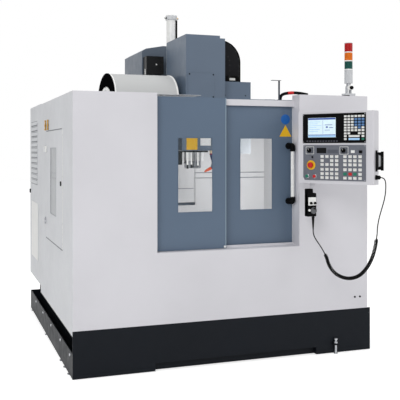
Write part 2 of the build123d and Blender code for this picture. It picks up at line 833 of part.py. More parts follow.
def levelling_feet():
    """Jack feet under the bed, pads under the tank and the jack screw at the front."""
    feet = []
    foot_x = BED_HALF_WIDTH - FOOT_INSET_X
    front, back = BED_FRONT + FOOT_INSET_Y, BED_BACK - FOOT_INSET_Y
    for x in (-foot_x, foot_x):
        for y in (front, (front + back) / 2, back):
            foot = post(x, y, 0, FOOT_DISC, FOOT_DISC_R) + post(x, y, FOOT_DISC, BED_BOTTOM, FOOT_STUD_R)
            nut_top = BED_BOTTOM - FOOT_NUT
            feet.append(foot + post(x, y, nut_top - FOOT_NUT, nut_top, FOOT_NUT_R))
    for x, y in tank_pad_positions():
        feet.append(post(x, y, 0, TANK_BOTTOM, PAD_R))
    y = FRONT_Y - JACK_OUT
    lug_top = JACK_LUG_Z + JACK_LUG
    jack = post(JACK_X, y, 0, TANK_WALL, JACK_FOOT_R) + post(JACK_X, y, TANK_WALL, JACK_TOP, JACK_R)
    jack += post(JACK_X, y, lug_top, lug_top + JACK_HEAD, JACK_NUT_R)
    jack += post(JACK_X, y, JACK_TOP - JACK_HEAD, JACK_TOP, JACK_HEAD_R)
    feet.append(jack)
    return feet


def machine_bed():
    """Cast bed with a screw channel, two hollows below and two bearing blocks."""
    bed = block(-BED_HALF_WIDTH, BED_HALF_WIDTH, BED_FRONT, BED_BACK, BED_BOTTOM, BED_TOP)
    floor = BED_TOP - CHANNEL_DEPTH
    bed -= block(-CHANNEL_HALF, CHANNEL_HALF, BED_FRONT - PAST, CHANNEL_BACK, floor, BED_TOP + PAST)
    for side in (-1, 1):
        hollow = sorted((side * HOLLOW_INNER, side * HOLLOW_OUTER))
        bed -= block(hollow[0], hollow[1], BED_FRONT + BED_END_WALL, BED_BACK - BED_END_WALL,
                     BED_BOTTOM - PAST, BED_TOP - BED_ROOF)
    for y in (BED_FRONT, REAR_BEARING_Y):
        bed += block(-CHANNEL_HALF, CHANNEL_HALF, y, y + BEARING, floor, BED_TOP)
        bed -= bar_y(0, y - PAST, y + BEARING + PAST, BED_SCREW_Z, BED_SCREW_R + FIT)
    return bed


def column():
    """Cast column with sloping shoulders, a screw channel in front and an open rear pocket."""
    half = COLUMN_HALF_WIDTH
    right = [(half, COLUMN_TOP - SHOULDER_DROP), (half - SHOULDER_BREAK_IN, COLUMN_TOP - SHOULDER_BREAK_DROP),
             (CROWN_HALF, COLUMN_TOP)]
    left = [(-x, z) for x, z in reversed(right)]
    outline = [(-half, BED_TOP), (half, BED_TOP)] + right + left
    body = prism([(x, COLUMN_FRONT, z) for x, z in outline], (0, 1, 0), BED_BACK - COLUMN_FRONT)
    channel_bottom = HEAD_BEARING_LOW - BEARING / 4
    body -= block(-CHANNEL_HALF, CHANNEL_HALF, COLUMN_FRONT - PAST, CHANNEL_BACK,
                  channel_bottom, COLUMN_TOP + PAST)
    pocket = half - COLUMN_WALL
    body -= block(-pocket, pocket, CHANNEL_BACK + COLUMN_WEB, BED_BACK + PAST,
                  BED_TOP + COLUMN_SOLE, COLUMN_TOP - COLUMN_ROOF)
    for z in (HEAD_BEARING_LOW, HEAD_BEARING_HIGH):
        body += block(-CHANNEL_HALF, CHANNEL_HALF, COLUMN_FRONT - BEARING_PROUD, CHANNEL_BACK, z, z + BEARING)
        body -= post(0, HEAD_SCREW_Y, z - PAST, z + BEARING + PAST, HEAD_SCREW_R + FIT)
    return body


def guide_rails():
    """Two rails on the bed and two on the column."""
    rails = []
    for side in (-1, 1):
        x = side * BED_RAIL_X
        rails.append(block(x - RAIL_HALF, x + RAIL_HALF, BED_RAIL_FRONT, BED_RAIL_BACK,
                           BED_TOP, BED_TOP + RAIL_HEIGHT))
        x = side * COLUMN_RAIL_X
        rails.append(block(x - RAIL_HALF, x + RAIL_HALF, COLUMN_FRONT - RAIL_HEIGHT, COLUMN_FRONT,
                           COLUMN_RAIL_LOW, COLUMN_RAIL_HIGH))
    return rails


def servo_motor(length, size):
    """A square servo motor that starts at the origin and runs along +X."""
    half = size / 2
    shoulder = length * MOTOR_BODY_SHARE
    cap = half * MOTOR_CAP_SHARE
    plug = half * MOTOR_PLUG_SHARE
    body = block(0, shoulder, -half, half, -half, half)
    body += block(shoulder, length, -cap, cap, -cap, cap)
    return body + block(length * MOTOR_PLUG_START, length * MOTOR_PLUG_END, -plug, plug,
                        half, half + MOTOR_PLUG)


def servo_motors():
    """Feed motors of the bed and the column, and the drive unit beside the column channel."""
    bed_motor = servo_motor(BED_MOTOR_LENGTH, FEED_MOTOR_SIZE)
    bed_motor = Pos(0, BED_FRONT, BED_SCREW_Z) * Rot(0, 0, -90) * bed_motor
    head_motor = servo_motor(HEAD_MOTOR_LENGTH, FEED_MOTOR_SIZE)
    head_motor = Pos(0, HEAD_SCREW_Y, HEAD_BEARING_HIGH + BEARING) * Rot(0, -90, 0) * head_motor
    right, top = DRIVE_LEFT + DRIVE_WIDTH, DRIVE_Z + DRIVE_WIDTH
    front = COLUMN_FRONT - DRIVE_DEPTH
    drive = block(DRIVE_LEFT, right, front, COLUMN_FRONT, DRIVE_Z, top)
    drive -= block(DRIVE_LEFT + DRIVE_RIM, right - DRIVE_RIM, front - PAST, front + DRIVE_RECESS,
                   DRIVE_Z + DRIVE_RIM, top - DRIVE_RIM)
    return [bed_motor, head_motor, drive]


def front_panel():
    """Folded front sheet: left panel, apron under the doors and right panel in one piece."""
    back = FRONT_Y + SHEET
    flange_back = FRONT_Y + TOP_FLANGE
    foot = FRONT_PLATE_TOP
    sheet = block(-HALF_WIDTH, DOORWAY_LEFT, FRONT_Y, back, foot, LEFT_TOP)
    sheet += block(DOORWAY_LEFT, DOORWAY_RIGHT, FRONT_Y, back, foot, APRON_TOP)
    sheet += block(DOORWAY_RIGHT, RIGHT_X, FRONT_Y, back, foot, RIGHT_TOP)
    left, right = -HALF_WIDTH + SHEET, RIGHT_X - SHEET
    sheet += block(left, right, FRONT_Y, FRONT_Y + FOOT_FLANGE, foot, foot + SHEET)
    sheet += block(left, DOORWAY_LEFT, FRONT_Y, flange_back, LEFT_TOP - SHEET, LEFT_TOP)
    sheet += block(DOORWAY_RIGHT, right, FRONT_Y, flange_back, RIGHT_TOP - SHEET, RIGHT_TOP)
    sheet += block(DOORWAY_LEFT - SHEET, DOORWAY_LEFT, FRONT_Y, FRONT_Y + JAMB_DEPTH,
                   APRON_TOP + SHEET, LEFT_TOP)
    sheet += block(DOORWAY_RIGHT, DOORWAY_RIGHT + SHEET, FRONT_Y, RETURN_Y, APRON_TOP, RIGHT_TOP)
    sheet += block(DOORWAY_RIGHT, DOORWAY_RIGHT + RETURN_LENGTH, RETURN_Y - SHEET, RETURN_Y,
                   APRON_TOP, RIGHT_TOP)
    # Bracket leaves of the console hinge
    pin_x, pin_y = to_world(*CONSOLE_PIN)
    for z in (CONSOLE_Z[0] + BRACKET_LOW, CONSOLE_Z[1] - BRACKET_HIGH):
        top = z + BRACKET_HEIGHT
        arm = block(pin_x - BRACKET_BEHIND, pin_x + BRACKET_REACH, pin_y, FRONT_Y, z, top)
        arm += post(pin_x, pin_y, z, top, CONSOLE_BARREL_R)
        sheet += arm - post(pin_x, pin_y, z - PAST, top + PAST, CONSOLE_PIN_R + FIT)
    return sheet


def door_frame():
    """Sill with its guide rib, header rail and the post that joins them."""
    left = -HALF_WIDTH + SHEET
    frame = block(left, DOORWAY_RIGHT, FRONT_Y + SHEET, SILL_BACK, APRON_TOP, APRON_TOP + SHEET)
    frame += block(left, DOORWAY_RIGHT, GUIDE_RIB_Y, GUIDE_RIB_Y + SHEET, APRON_TOP, APRON_TOP + GUIDE_RIB_HEIGHT)
    frame += block(left, DOORWAY_RIGHT, RAIL_FRONT, RAIL_BACK, RAIL_BOTTOM, RAIL_TOP)
    return frame + block(left, left + FRAME_POST, RAIL_FRONT, RAIL_BACK, APRON_TOP, RAIL_TOP)


def front_corner_cut():
    """Room in the side sheets for the front plate of the tank."""
    return block(-HALF_WIDTH - PAST, HALF_WIDTH, FRONT_Y, FRONT_Y + TANK_WALL,
                 SIDE_BOTTOM - PAST, FRONT_PLATE_TOP)


def side_hinge_leaf(low, direction, reach, pad):
    """One knuckle of the side hinge with its arm along Y and its seat on the sheet."""
    axis_x = -HALF_WIDTH - HINGE_OUT
    axis_y = SIDE_DOOR_Y[1] + HINGE_PAST_EDGE
    high = low + HINGE_KNUCKLE
    arm = sorted((axis_y, axis_y + direction * reach))
    seat = sorted((axis_y + direction * reach, axis_y + direction * (reach - pad)))
    leaf = post(axis_x, axis_y, low, high, HINGE_R)
    leaf += block(axis_x - HINGE_LEAF / 2, axis_x + HINGE_LEAF / 2, arm[0], arm[1], low, high)
    return leaf + block(axis_x, -HALF_WIDTH, seat[0], seat[1], low, high)


def left_side_panel():
    """Left side sheet with the side doorway, a seam line and stiffening flanges."""
    outside, inside = -HALF_WIDTH, -HALF_WIDTH + SHEET
    front = FRONT_Y + SHEET
    sheet = block(outside, inside, front, SIDE_BACK_Y, SIDE_BOTTOM, LEFT_TOP)
    y0, y1 = SIDE_DOOR_Y[0] - DOOR_GAP, SIDE_DOOR_Y[1] + DOOR_GAP
    z0, z1 = SIDE_DOOR_Z[0] - DOOR_GAP, SIDE_DOOR_Z[1] + DOOR_GAP
    sheet += block(outside, outside + SIDE_FOOT_FLANGE, front, SIDE_BACK_Y, SIDE_BOTTOM, SIDE_BOTTOM + SHEET)
    sheet -= front_corner_cut()
    sheet += block(outside, outside + SIDE_TOP_FLANGE, FRONT_Y + TOP_FLANGE, SIDE_BACK_Y,
                   LEFT_TOP - SHEET, LEFT_TOP)
    # Frame behind the doorway that the side door closes against
    reach = STOP_WIDTH - DOOR_GAP
    sheet += block(inside, inside + STOP_DEPTH, y0 - reach, y1 + reach, z0 - reach, z1 + reach)
    sheet -= block(outside - PAST, inside + STOP_DEPTH + PAST, y0, y1, z0, z1)
    sheet -= block(outside - PAST, outside + SEAM_DEPTH, SEAM_Y, SEAM_Y + SEAM_WIDTH, SIDE_BOTTOM - PAST,
                   LEFT_TOP + PAST)
    # Fixed hinge leaves and their pins
    half = HINGE_KNUCKLE / 2 + 1
    for z in HINGE_Z:
        for low in (z - half - HINGE_KNUCKLE, z + half):
            sheet += side_hinge_leaf(low, 1, HINGE_LEAF_REACH, HINGE_LEAF_REACH)
        sheet += post(outside - HINGE_OUT, SIDE_DOOR_Y[1] + HINGE_PAST_EDGE, z - half - HINGE_KNUCKLE,
                      z + half + HINGE_KNUCKLE, HINGE_PIN_R)
    return sheet


def right_side_panel():
    """Plain right side sheet with stiffening flanges."""
    front = FRONT_Y + SHEET
    sheet = block(RIGHT_X - SHEET, RIGHT_X, front, SIDE_BACK_Y, SIDE_BOTTOM, RIGHT_TOP)
    sheet += block(RIGHT_X - SIDE_FOOT_FLANGE, RIGHT_X, front, SIDE_BACK_Y, SIDE_BOTTOM, SIDE_BOTTOM + SHEET)
    sheet -= front_corner_cut()
    return sheet + block(RIGHT_X - SIDE_TOP_FLANGE, RIGHT_X, FRONT_Y + TOP_FLANGE, SIDE_BACK_Y,
                         RIGHT_TOP - SHEET, RIGHT_TOP)


def deck_plate():
    """Plate over the tank with the openings that the bed and the chips pass."""
    edge = HALF_WIDTH - LEDGE
    low = TANK_TOP - TANK_WALL
    step = SIDE_BACK_Y - DECK_HOLE_STOP
    deck = block(-edge, edge, FRONT_Y + TANK_WALL, TANK_BACK_Y, low, TANK_TOP)
    deck -= block(-DECK_HOLE_HALF, DECK_HOLE_HALF, GUARD_FRONT, step, low - PAST, TANK_TOP + PAST)
    rear = DECK_REAR_HOLE_HALF
    return deck - block(-rear, rear, step, BED_BACK + WELL_GAP, low - PAST, TANK_TOP + PAST)


def work_area_guard():
    """Deck plate and inner sheets: walls, back wall with the head opening and chip slopes."""
    wall_x = GUARD_HALF_WIDTH
    inner_x = wall_x - SHEET
    top = LEFT_TOP - SHEET
    gap = HEAD_GAP_HALF
    guard = deck_plate()
    guard += block(-wall_x, -inner_x, GUARD_FRONT, GUARD_BACK, TANK_TOP, top)
    guard += block(inner_x, wall_x, RETURN_Y, GUARD_BACK, TANK_TOP, top)
    guard += block(-wall_x, wall_x, GUARD_FRONT - SHEET, GUARD_FRONT, GUARD_FRONT_FOOT, APRON_TOP)
    guard += block(-wall_x, wall_x, GUARD_FRONT, BED_FRONT, CHIP_SLOPE_TOP, CHIP_SLOPE_TOP + SHEET)
    guard += block(gap, wall_x, GUARD_BACK - SHEET, GUARD_BACK, BED_TOP, top)
    guard += block(-gap, gap, GUARD_BACK - SHEET, GUARD_BACK, BED_TOP, HEAD_GAP_BOTTOM)
    guard += block(-wall_x, -gap, GUARD_LEFT_BACK, GUARD_LEFT_BACK + SHEET, BED_TOP, top)
    guard += block(-gap - SHEET, -gap, GUARD_LEFT_BACK, GUARD_BACK, BED_TOP, top)
    # Folded ribs across the back sheets
    for z in (RIGHT_RIB_LOW, RIGHT_RIB_HIGH):
        guard += block(gap, wall_x, GUARD_BACK - SHEET - RIB_PROUD, GUARD_BACK, z, z + RIB_HEIGHT)
    guard += block(-wall_x, -gap, GUARD_LEFT_BACK - RIB_PROUD, GUARD_LEFT_BACK + SHEET,
                   LEFT_RIB, LEFT_RIB + RIB_HEIGHT)
    for side in (-1, 1):
        rail = side * BED_RAIL_X
        guard -= block(rail - RAIL_NOTCH_HALF, rail + RAIL_NOTCH_HALF, GUARD_LEFT_BACK - RIB_PROUD,
                       GUARD_BACK + PAST, BED_TOP - PAST, BED_TOP + RAIL_HEIGHT + SHEET)
        high, foot = CHIP_SLOPE_TOP, CHIP_SLOPE_FOOT
        bed_x = side * BED_HALF_WIDTH
        corners = [(side * wall_x, BED_FRONT, high + SHEET), (side * wall_x, BED_FRONT, high - SHEET),
                   (bed_x, BED_FRONT, foot - SHEET), (bed_x, BED_FRONT, foot + SHEET)]
        guard += prism(corners, (0, 1, 0), GUARD_BACK - BED_FRONT)
    return guard


def louvres():
    """Pressed louvres in the left face of the cabinet."""
    left = -HALF_WIDTH
    pitch = (LOUVRE_TOP - LOUVRE_BOTTOM) / LOUVRE_COUNT
    pieces = []
    for index in range(LOUVRE_COUNT):
        z = LOUVRE_BOTTOM + index * pitch + LOUVRE_LIP
        corners = [(left, LOUVRE_FRONT, z), (left - LOUVRE_PROUD, LOUVRE_FRONT, z),
                   (left, LOUVRE_FRONT, z + LOUVRE_LENGTH)]
        pieces.append(prism(corners, (0, 1, 0), LOUVRE_BACK - LOUVRE_FRONT))
    return pieces


def gear_plate():
    """Plate inside the cabinet with rows of switchgear, all cut to the room there is."""
    left, right = -HALF_WIDTH + GEAR_MARGIN, CABINET_RIGHT - GEAR_MARGIN
    y = SIDE_BACK_Y + GEAR_PLATE_OUT
    plate = block(left, right, y, y + GEAR_PLATE, GEAR_BOTTOM, GEAR_TOP)
    size = GEAR_STANDOFF
    for x in (left, right - size):
        for z in (GEAR_BOTTOM, GEAR_TOP - size):
            plate += block(x, x + size, SIDE_BACK_Y + SHEET, y, z, z + size)
    width = (right - left) / GEAR_COLUMNS
    height = (GEAR_TOP - GEAR_BOTTOM) / GEAR_ROWS
    for row in range(GEAR_ROWS):
        depth = GEAR_DEPTH * (1 - row / (3 * GEAR_ROWS))
        for column_index in range(GEAR_COLUMNS):
            x = left + (column_index + (1 - GEAR_FILL) / 2) * width
            z = GEAR_BOTTOM + (row + (1 - GEAR_FILL) / 2) * height
            plate += block(x, x + GEAR_FILL * width, y, y + depth, z, z + GEAR_FILL * height * GEAR_FILL)
    return plate


def electrical_cabinet():
    """Cabinet shell with louvres on its left face and the gear plate inside."""
    left, right = -HALF_WIDTH, CABINET_RIGHT
    shell = block(left, right, SIDE_BACK_Y, CABINET_BACK, CABINET_BOTTOM, CABINET_TOP)
    shell -= block(left + SHEET, right - SHEET, SIDE_BACK_Y + SHEET, CABINET_BACK - SHEET,
                   CABINET_BOTTOM + SHEET, CABINET_TOP - SHEET)
    shell -= block(left + CABINET_FRAME, right - CABINET_FRAME, CABINET_BACK - CABINET_LIP, CABINET_BACK + PAST,
                   CABINET_BOTTOM + CABINET_FRAME, CABINET_TOP - CABINET_FRAME)
    for x in (left + CABINET_LEG_MARGIN, right - CABINET_LEG_INSET - CABINET_LEG):
        for y in (SIDE_BACK_Y + CABINET_LEG_INSET, TANK_BACK_Y - CABINET_LEG_INSET - CABINET_LEG):
            shell += block(x, x + CABINET_LEG, y, y + CABINET_LEG, TANK_TOP, CABINET_BOTTOM)
    shell = join([shell] + louvres())
    shell += block(left - PLATE_PROUD, left, PLATE_FRONT, PLATE_BACK, PLATE_BOTTOM, PLATE_TOP)
    shell -= block(right - SHEET - PAST, right + PAST, CABLE_WINDOW_FRONT,
                   CABLE_WINDOW_FRONT + CABLE_WINDOW_LENGTH, CABLE_WINDOW_Z, CABLE_WINDOW_Z + CABLE_WINDOW_HEIGHT)
    shell += gear_plate()
    # Fixed hinge leaves of the cabinet door and their pins
    hinge_x, hinge_y = right - CABINET_HINGE_INSET, CABINET_BACK + CABINET_HINGE_OUT
    for z in CABINET_HINGE_Z:
        top = z + CABINET_KNUCKLE
        shell += block(hinge_x + HINGE_LEAF, right - CABINET_HINGE_LEAF, CABINET_BACK,
                       hinge_y + CABINET_HINGE_LEAF, z, top)
        shell += post(hinge_x, hinge_y, z, top, CABINET_HINGE_R)
        shell += post(hinge_x, hinge_y, z, top + CABINET_KNUCKLE, HINGE_PIN_R)
    return shell


def arch(rise, span, x0, x1):
    """Half ellipse on the roof line, pushed along X."""
    plane = Plane((x0, SPINDLE_Y, LEFT_TOP), x_dir=(0, 1, 0), z_dir=(1, 0, 0))
    outline = Ellipse(span, rise) & Pos(0, rise / 2) * Rectangle(2 * span, rise)
    return extrude(plane * outline, amount=x1 - x0)


def magazine_cover():
    """Arched hood with a rim at each end and a small knob on its closed left end."""
    hood = arch(ARCH_RISE, ARCH_HALF_SPAN, ARCH_LEFT, ARCH_RIGHT)
    for x in (ARCH_LEFT, ARCH_RIGHT - ARCH_RIM):
        hood += arch(ARCH_RISE + ARCH_RIM_PROUD, ARCH_HALF_SPAN + ARCH_RIM_PROUD, x, x + ARCH_RIM)
    hood -= arch(ARCH_RISE - SHEET, ARCH_HALF_SPAN - SHEET, ARCH_LEFT + SHEET, ARCH_RIGHT - SHEET)
    return hood + bar_x(ARCH_LEFT - BUMP_LENGTH, ARCH_LEFT, SPINDLE_Y - BUMP_Y, LEFT_TOP + BUMP_RISE, BUMP_R)


def roof_plate():
    """Left roof sheet with the rails that the magazine hangs from."""
    low = LEFT_TOP - SHEET
    left = -HALF_WIDTH + SIDE_TOP_FLANGE
    plate = block(left, ROOF_RIGHT, FRONT_Y + TOP_FLANGE, GUARD_BACK, low, LEFT_TOP)
    plate += block(left, ROOF_REAR_RIGHT, GUARD_BACK, SIDE_BACK_Y, low, LEFT_TOP)
    plate -= block(ARCH_LEFT + ARCH_SHELF, ARCH_RIGHT - ARCH_SHELF, SPINDLE_Y - ROOF_HOLE_HALF,
                   SPINDLE_Y + ROOF_HOLE_HALF, low - PAST, LEFT_TOP + PAST)
    rail_top = MAGAZINE_RAIL_Z + MAGAZINE_RAIL_HEIGHT
    for side in (-1, 1):
        y = SPINDLE_Y + side * MAGAZINE_RAIL_Y
        plate += block(MAGAZINE_RAIL_LEFT, MAGAZINE_RAIL_RIGHT, y - MAGAZINE_RAIL_HALF, y + MAGAZINE_RAIL_HALF,
                       MAGAZINE_RAIL_Z, rail_top)
        plate += block(MAGAZINE_RAIL_LEFT, MAGAZINE_RAIL_RIGHT, y - MAGAZINE_WEB_HALF, y + MAGAZINE_WEB_HALF,
                       rail_top, low)
    return plate


def chain_trough():
    """Open trough that the energy chain dips into, and its arm back to the column."""
    wall = TROUGH_WALL
    trough = block(TROUGH_LEFT, TROUGH_RIGHT, TROUGH_FRONT, TROUGH_BACK, TROUGH_BOTTOM, TROUGH_TOP)
    trough -= block(TROUGH_LEFT - PAST, TROUGH_RIGHT - wall, TROUGH_FRONT + wall, TROUGH_BACK - wall,
                    TROUGH_BOTTOM + wall, TROUGH_TOP + PAST)
    trough += block(TROUGH_RIGHT - wall, TROUGH_RIGHT + TROUGH_FLANGE, TROUGH_FRONT, TROUGH_FRONT + wall,
                    TROUGH_BOTTOM, TROUGH_TOP)
    trough += block(TROUGH_ARM_X, TROUGH_ARM_X + TROUGH_ARM, TROUGH_BACK, COLUMN_FRONT, TROUGH_ARM_LOW,
                    TROUGH_ARM_HIGH)
    return trough + block(TROUGH_FOOT_X, COLUMN_HALF_WIDTH, COLUMN_FRONT - TROUGH_ARM, COLUMN_FRONT,
                          TROUGH_ARM_LOW, TROUGH_ARM_HIGH)


def roof_bracket():
    """Upright angle bracket on the header rail."""
    right = BRACKET_RIGHT
    bracket = block(right - BRACKET_FOOT, right, RAIL_FRONT, RAIL_BACK, RAIL_TOP, RAIL_TOP + BRACKET_FOOT_HEIGHT)
    bracket += block(right - BRACKET_POST_INSET - SHEET, right - BRACKET_POST_INSET, RAIL_FRONT, RAIL_BACK,
                     RAIL_TOP, BRACKET_TOP)
    return bracket + block(right - BRACKET_ARM, right, RAIL_FRONT, RAIL_BACK, BRACKET_TOP - SHEET, BRACKET_TOP)


def light_bracket():
    """Base block and forked pivot of the signal light."""
    top = RIGHT_TOP + LIGHT_BASE
    base = block(LIGHT_X - LIGHT_BASE_HALF, LIGHT_X + LIGHT_BASE_HALF, LIGHT_Y - LIGHT_BASE_HALF_DEPTH,
                 LIGHT_Y + LIGHT_BASE_HALF_DEPTH, RIGHT_TOP, top)
    for side in (-1, 1):
        x = LIGHT_X + side * LIGHT_FORK_X
        low, high = x - LIGHT_FORK_HALF, x + LIGHT_FORK_HALF
        base += block(low, high, LIGHT_Y - LIGHT_FORK_R, LIGHT_Y + LIGHT_FORK_R, top, LIGHT_PIVOT_Z)
        base += bar_x(low, high, LIGHT_Y, LIGHT_PIVOT_Z, LIGHT_FORK_R)
    return base - bar_x(LIGHT_X - LIGHT_R, LIGHT_X + LIGHT_R, LIGHT_Y, LIGHT_PIVOT_Z, LIGHT_PIN_R + FIT)


def lens_levels():
    """Foot and top of each lens from the bottom up, the top one being the taller."""
    levels = []
    low = LIGHT_BODY_TOP + LENS_GAP
    for index in range(LENS_COUNT):
        high = low + LENS_HEIGHT + (TOP_LENS_EXTRA if index == LENS_COUNT - 1 else 0)
        levels.append((low, high))
        low = high + LENS_GAP
    return levels


def light_post():
    """Folding tongue, pivot pin with its knob and the body of the signal light."""
    x, y, pivot = LIGHT_X, LIGHT_Y, LIGHT_PIVOT_Z
    tongue = block(x - LIGHT_TONGUE_HALF, x + LIGHT_TONGUE_HALF, y - LIGHT_TONGUE_R, y + LIGHT_TONGUE_R,
                   pivot, LIGHT_BODY_LOW)
    tongue += bar_x(x - LIGHT_TONGUE_HALF, x + LIGHT_TONGUE_HALF, y, pivot, LIGHT_TONGUE_R)
    tongue += bar_x(x - LIGHT_PIN_LEFT, x + LIGHT_PIN_RIGHT, y, pivot, LIGHT_PIN_R)
    tongue += bar_x(x + LIGHT_KNOB_START, x + LIGHT_KNOB_END, y, pivot, LIGHT_KNOB_R)
    body = tongue + post(x, y, LIGHT_BODY_LOW, LIGHT_BODY_TOP, LIGHT_R)
    low = LIGHT_BODY_TOP
    for bottom, top in lens_levels():
        body += post(x, y, low, bottom, LIGHT_R - LIGHT_WAIST)
        body += post(x, y, bottom, top, LIGHT_CORE_R)
        low = top
    return body


def light_lenses():
    """Three clear rings, one colour each."""
    rings = []
    for bottom, top in lens_levels():
        ring = post(LIGHT_X, LIGHT_Y, bottom, top, LIGHT_R)
        rings.append(ring - post(LIGHT_X, LIGHT_Y, bottom - PAST, top + PAST, LIGHT_CORE_R))
    return rings


def saddle_runner(x, y):
    """Runner block of the saddle over a bed rail."""
    low = BED_TOP + RUNNER_LIFT
    body = block(x - RUNNER_HALF_WIDTH, x + RUNNER_HALF_WIDTH, y - RUNNER_HALF_LENGTH, y + RUNNER_HALF_LENGTH,
                 low, SADDLE_BOTTOM)
    slot = RAIL_HALF + RUNNER_GAP
    return body - block(x - slot, x + slot, y - RUNNER_HALF_LENGTH - PAST, y + RUNNER_HALF_LENGTH + PAST,
                        low - PAST, BED_TOP + RAIL_HEIGHT + RUNNER_GAP)


def saddle():
    """Cross slide casting with runner blocks, nut and bearings."""
    y0, y1 = SPINDLE_Y - SADDLE_HALF_DEPTH, SPINDLE_Y + SADDLE_HALF_DEPTH
    half = SADDLE_HALF_WIDTH
    groove0, groove1 = SPINDLE_Y - SADDLE_GROOVE_HALF, SPINDLE_Y + SADDLE_GROOVE_HALF
    floor = SADDLE_TOP - SADDLE_GROOVE
    body = block(-half, half, y0, y1, SADDLE_BOTTOM, SADDLE_TOP)
    body -= block(-half - PAST, half + PAST, groove0, groove1, floor, SADDLE_TOP + PAST)
    for x in (-BED_RAIL_X, BED_RAIL_X):
        for y in (SPINDLE_Y - RUNNER_SPACING, SPINDLE_Y + RUNNER_SPACING):
            body += saddle_runner(x, y)
    nut0, nut1 = SPINDLE_Y - NUT_LENGTH_HALF, SPINDLE_Y + NUT_LENGTH_HALF
    body += block(-NUT_HALF, NUT_HALF, nut0, nut1, NUT_BOTTOM, SADDLE_BOTTOM)
    body -= bar_y(0, nut0 - PAST, nut1 + PAST, BED_SCREW_Z, BED_SCREW_R + FIT)
    for x in (-SADDLE_RAIL_HALF, SADDLE_RAIL_HALF - BEARING):
        body += block(x, x + BEARING, groove0, groove1, floor, SADDLE_TOP)
        body -= bar_x(x - PAST, x + BEARING + PAST, SPINDLE_Y, TABLE_SCREW_Z, TABLE_SCREW_R + FIT)
    return body


def saddle_rails():
    """Two rails along X on the saddle."""
    half = SADDLE_RAIL_HALF
    return [block(-half, half, y - RAIL_HALF, y + RAIL_HALF, SADDLE_TOP, SADDLE_TOP + SADDLE_RAIL_HEIGHT)
            for y in (SPINDLE_Y - SADDLE_RAIL_Y, SPINDLE_Y + SADDLE_RAIL_Y)]


def work_table():
    """Table with T-slots, runner blocks and nut."""
    y0, y1 = SPINDLE_Y - TABLE_HALF_DEPTH, SPINDLE_Y + TABLE_HALF_DEPTH
    half = TABLE_HALF_WIDTH
    body = block(-half, half, y0, y1, TABLE_BOTTOM, TABLE_TOP)
    floor = TABLE_TOP - T_SLOT_DEPTH
    for step in (-1, 0, 1):
        y = SPINDLE_Y + step * T_SLOT_PITCH
        for width, top in ((T_SLOT_WIDTH, TABLE_TOP + PAST), (T_SLOT_BASE_WIDTH, floor + T_SLOT_BASE_HEIGHT)):
            body -= block(-half - PAST, half + PAST, y - width / 2, y + width / 2, floor, top)
    slot = RAIL_HALF + RUNNER_GAP
    slot_top = SADDLE_TOP + SADDLE_RAIL_HEIGHT + RUNNER_GAP
    low = SADDLE_TOP + TABLE_RUNNER_LIFT
    for y in (SPINDLE_Y - SADDLE_RAIL_Y, SPINDLE_Y + SADDLE_RAIL_Y):
        for x in (-TABLE_RUNNER_X, TABLE_RUNNER_X):
            x0, x1 = x - TABLE_RUNNER_HALF, x + TABLE_RUNNER_HALF
            body += block(x0, x1, y - RUNNER_HALF_WIDTH, y + RUNNER_HALF_WIDTH, low, TABLE_BOTTOM)
            body -= block(x0 - PAST, x1 + PAST, y - slot, y + slot, low - PAST, slot_top)
    nut = TABLE_NUT_HALF
    body += block(-nut, nut, SPINDLE_Y - nut, SPINDLE_Y + nut, TABLE_NUT_BOTTOM, TABLE_BOTTOM)
    return body - bar_x(-nut - PAST, nut + PAST, SPINDLE_Y, TABLE_SCREW_Z, TABLE_SCREW_R + FIT)


def head_casting():
    """Spindle carrier with nose housing, runner blocks, nut and the hanging way cover."""
    half = CASTING_HALF_WIDTH
    body = block(-half, half, CASTING_FRONT, CASTING_BACK, CASTING_BOTTOM, CASTING_TOP)
    body += post(0, SPINDLE_Y, HOUSING_BOTTOM, CASTING_BOTTOM, HOUSING_R)
    body -= post(0, SPINDLE_Y, HOUSING_BOTTOM - PAST, SPINDLE_TOP + SPINDLE_BORE_SPACE, SPINDLE_R + FIT)
    slot = RAIL_HALF + RUNNER_GAP
    rail_face = COLUMN_FRONT - RAIL_HEIGHT - RUNNER_GAP
    for x in (-COLUMN_RAIL_X, COLUMN_RAIL_X):
        for z in (HEAD_RUNNER_LOW, HEAD_RUNNER_HIGH):
            top = z + HEAD_RUNNER_HEIGHT
            body += block(x - HEAD_RUNNER_HALF, x + HEAD_RUNNER_HALF, CASTING_BACK, HEAD_RUNNER_BACK, z, top)
            body -= block(x - slot, x + slot, rail_face, HEAD_RUNNER_BACK + PAST, z - PAST, top + PAST)
    nut_top = HEAD_NUT_Z + HEAD_NUT_HEIGHT
    body += block(-HEAD_NUT_HALF, HEAD_NUT_HALF, CASTING_BACK, HEAD_NUT_BACK, HEAD_NUT_Z, nut_top)
    body -= post(0, HEAD_SCREW_Y, HEAD_NUT_Z - PAST, nut_top + PAST, HEAD_SCREW_R + FIT)
    cover, ledge = WAY_COVER_HALF, WAY_COVER_LEDGE_HALF
    body += block(-cover, cover, WAY_COVER_Y, WAY_COVER_Y + SHEET, WAY_COVER_BOTTOM, CASTING_BOTTOM)
    return body + block(-ledge, ledge, WAY_COVER_Y + SHEET, CASTING_BACK, CASTING_BOTTOM - WAY_COVER_LEDGE,
                        CASTING_BOTTOM)


def cover_outline(inset, bottom):
    """Corners of the head cover's stepped section, moved in by the sheet where asked."""
    half, step = HEAD_HALF_WIDTH - inset, COVER_STEP_X - inset
    top, step_top = COVER_TOP - inset, COVER_STEP_TOP - inset
    return [(-half, bottom), (-half, top), (step, top), (step, step_top), (half, step_top), (half, bottom)]


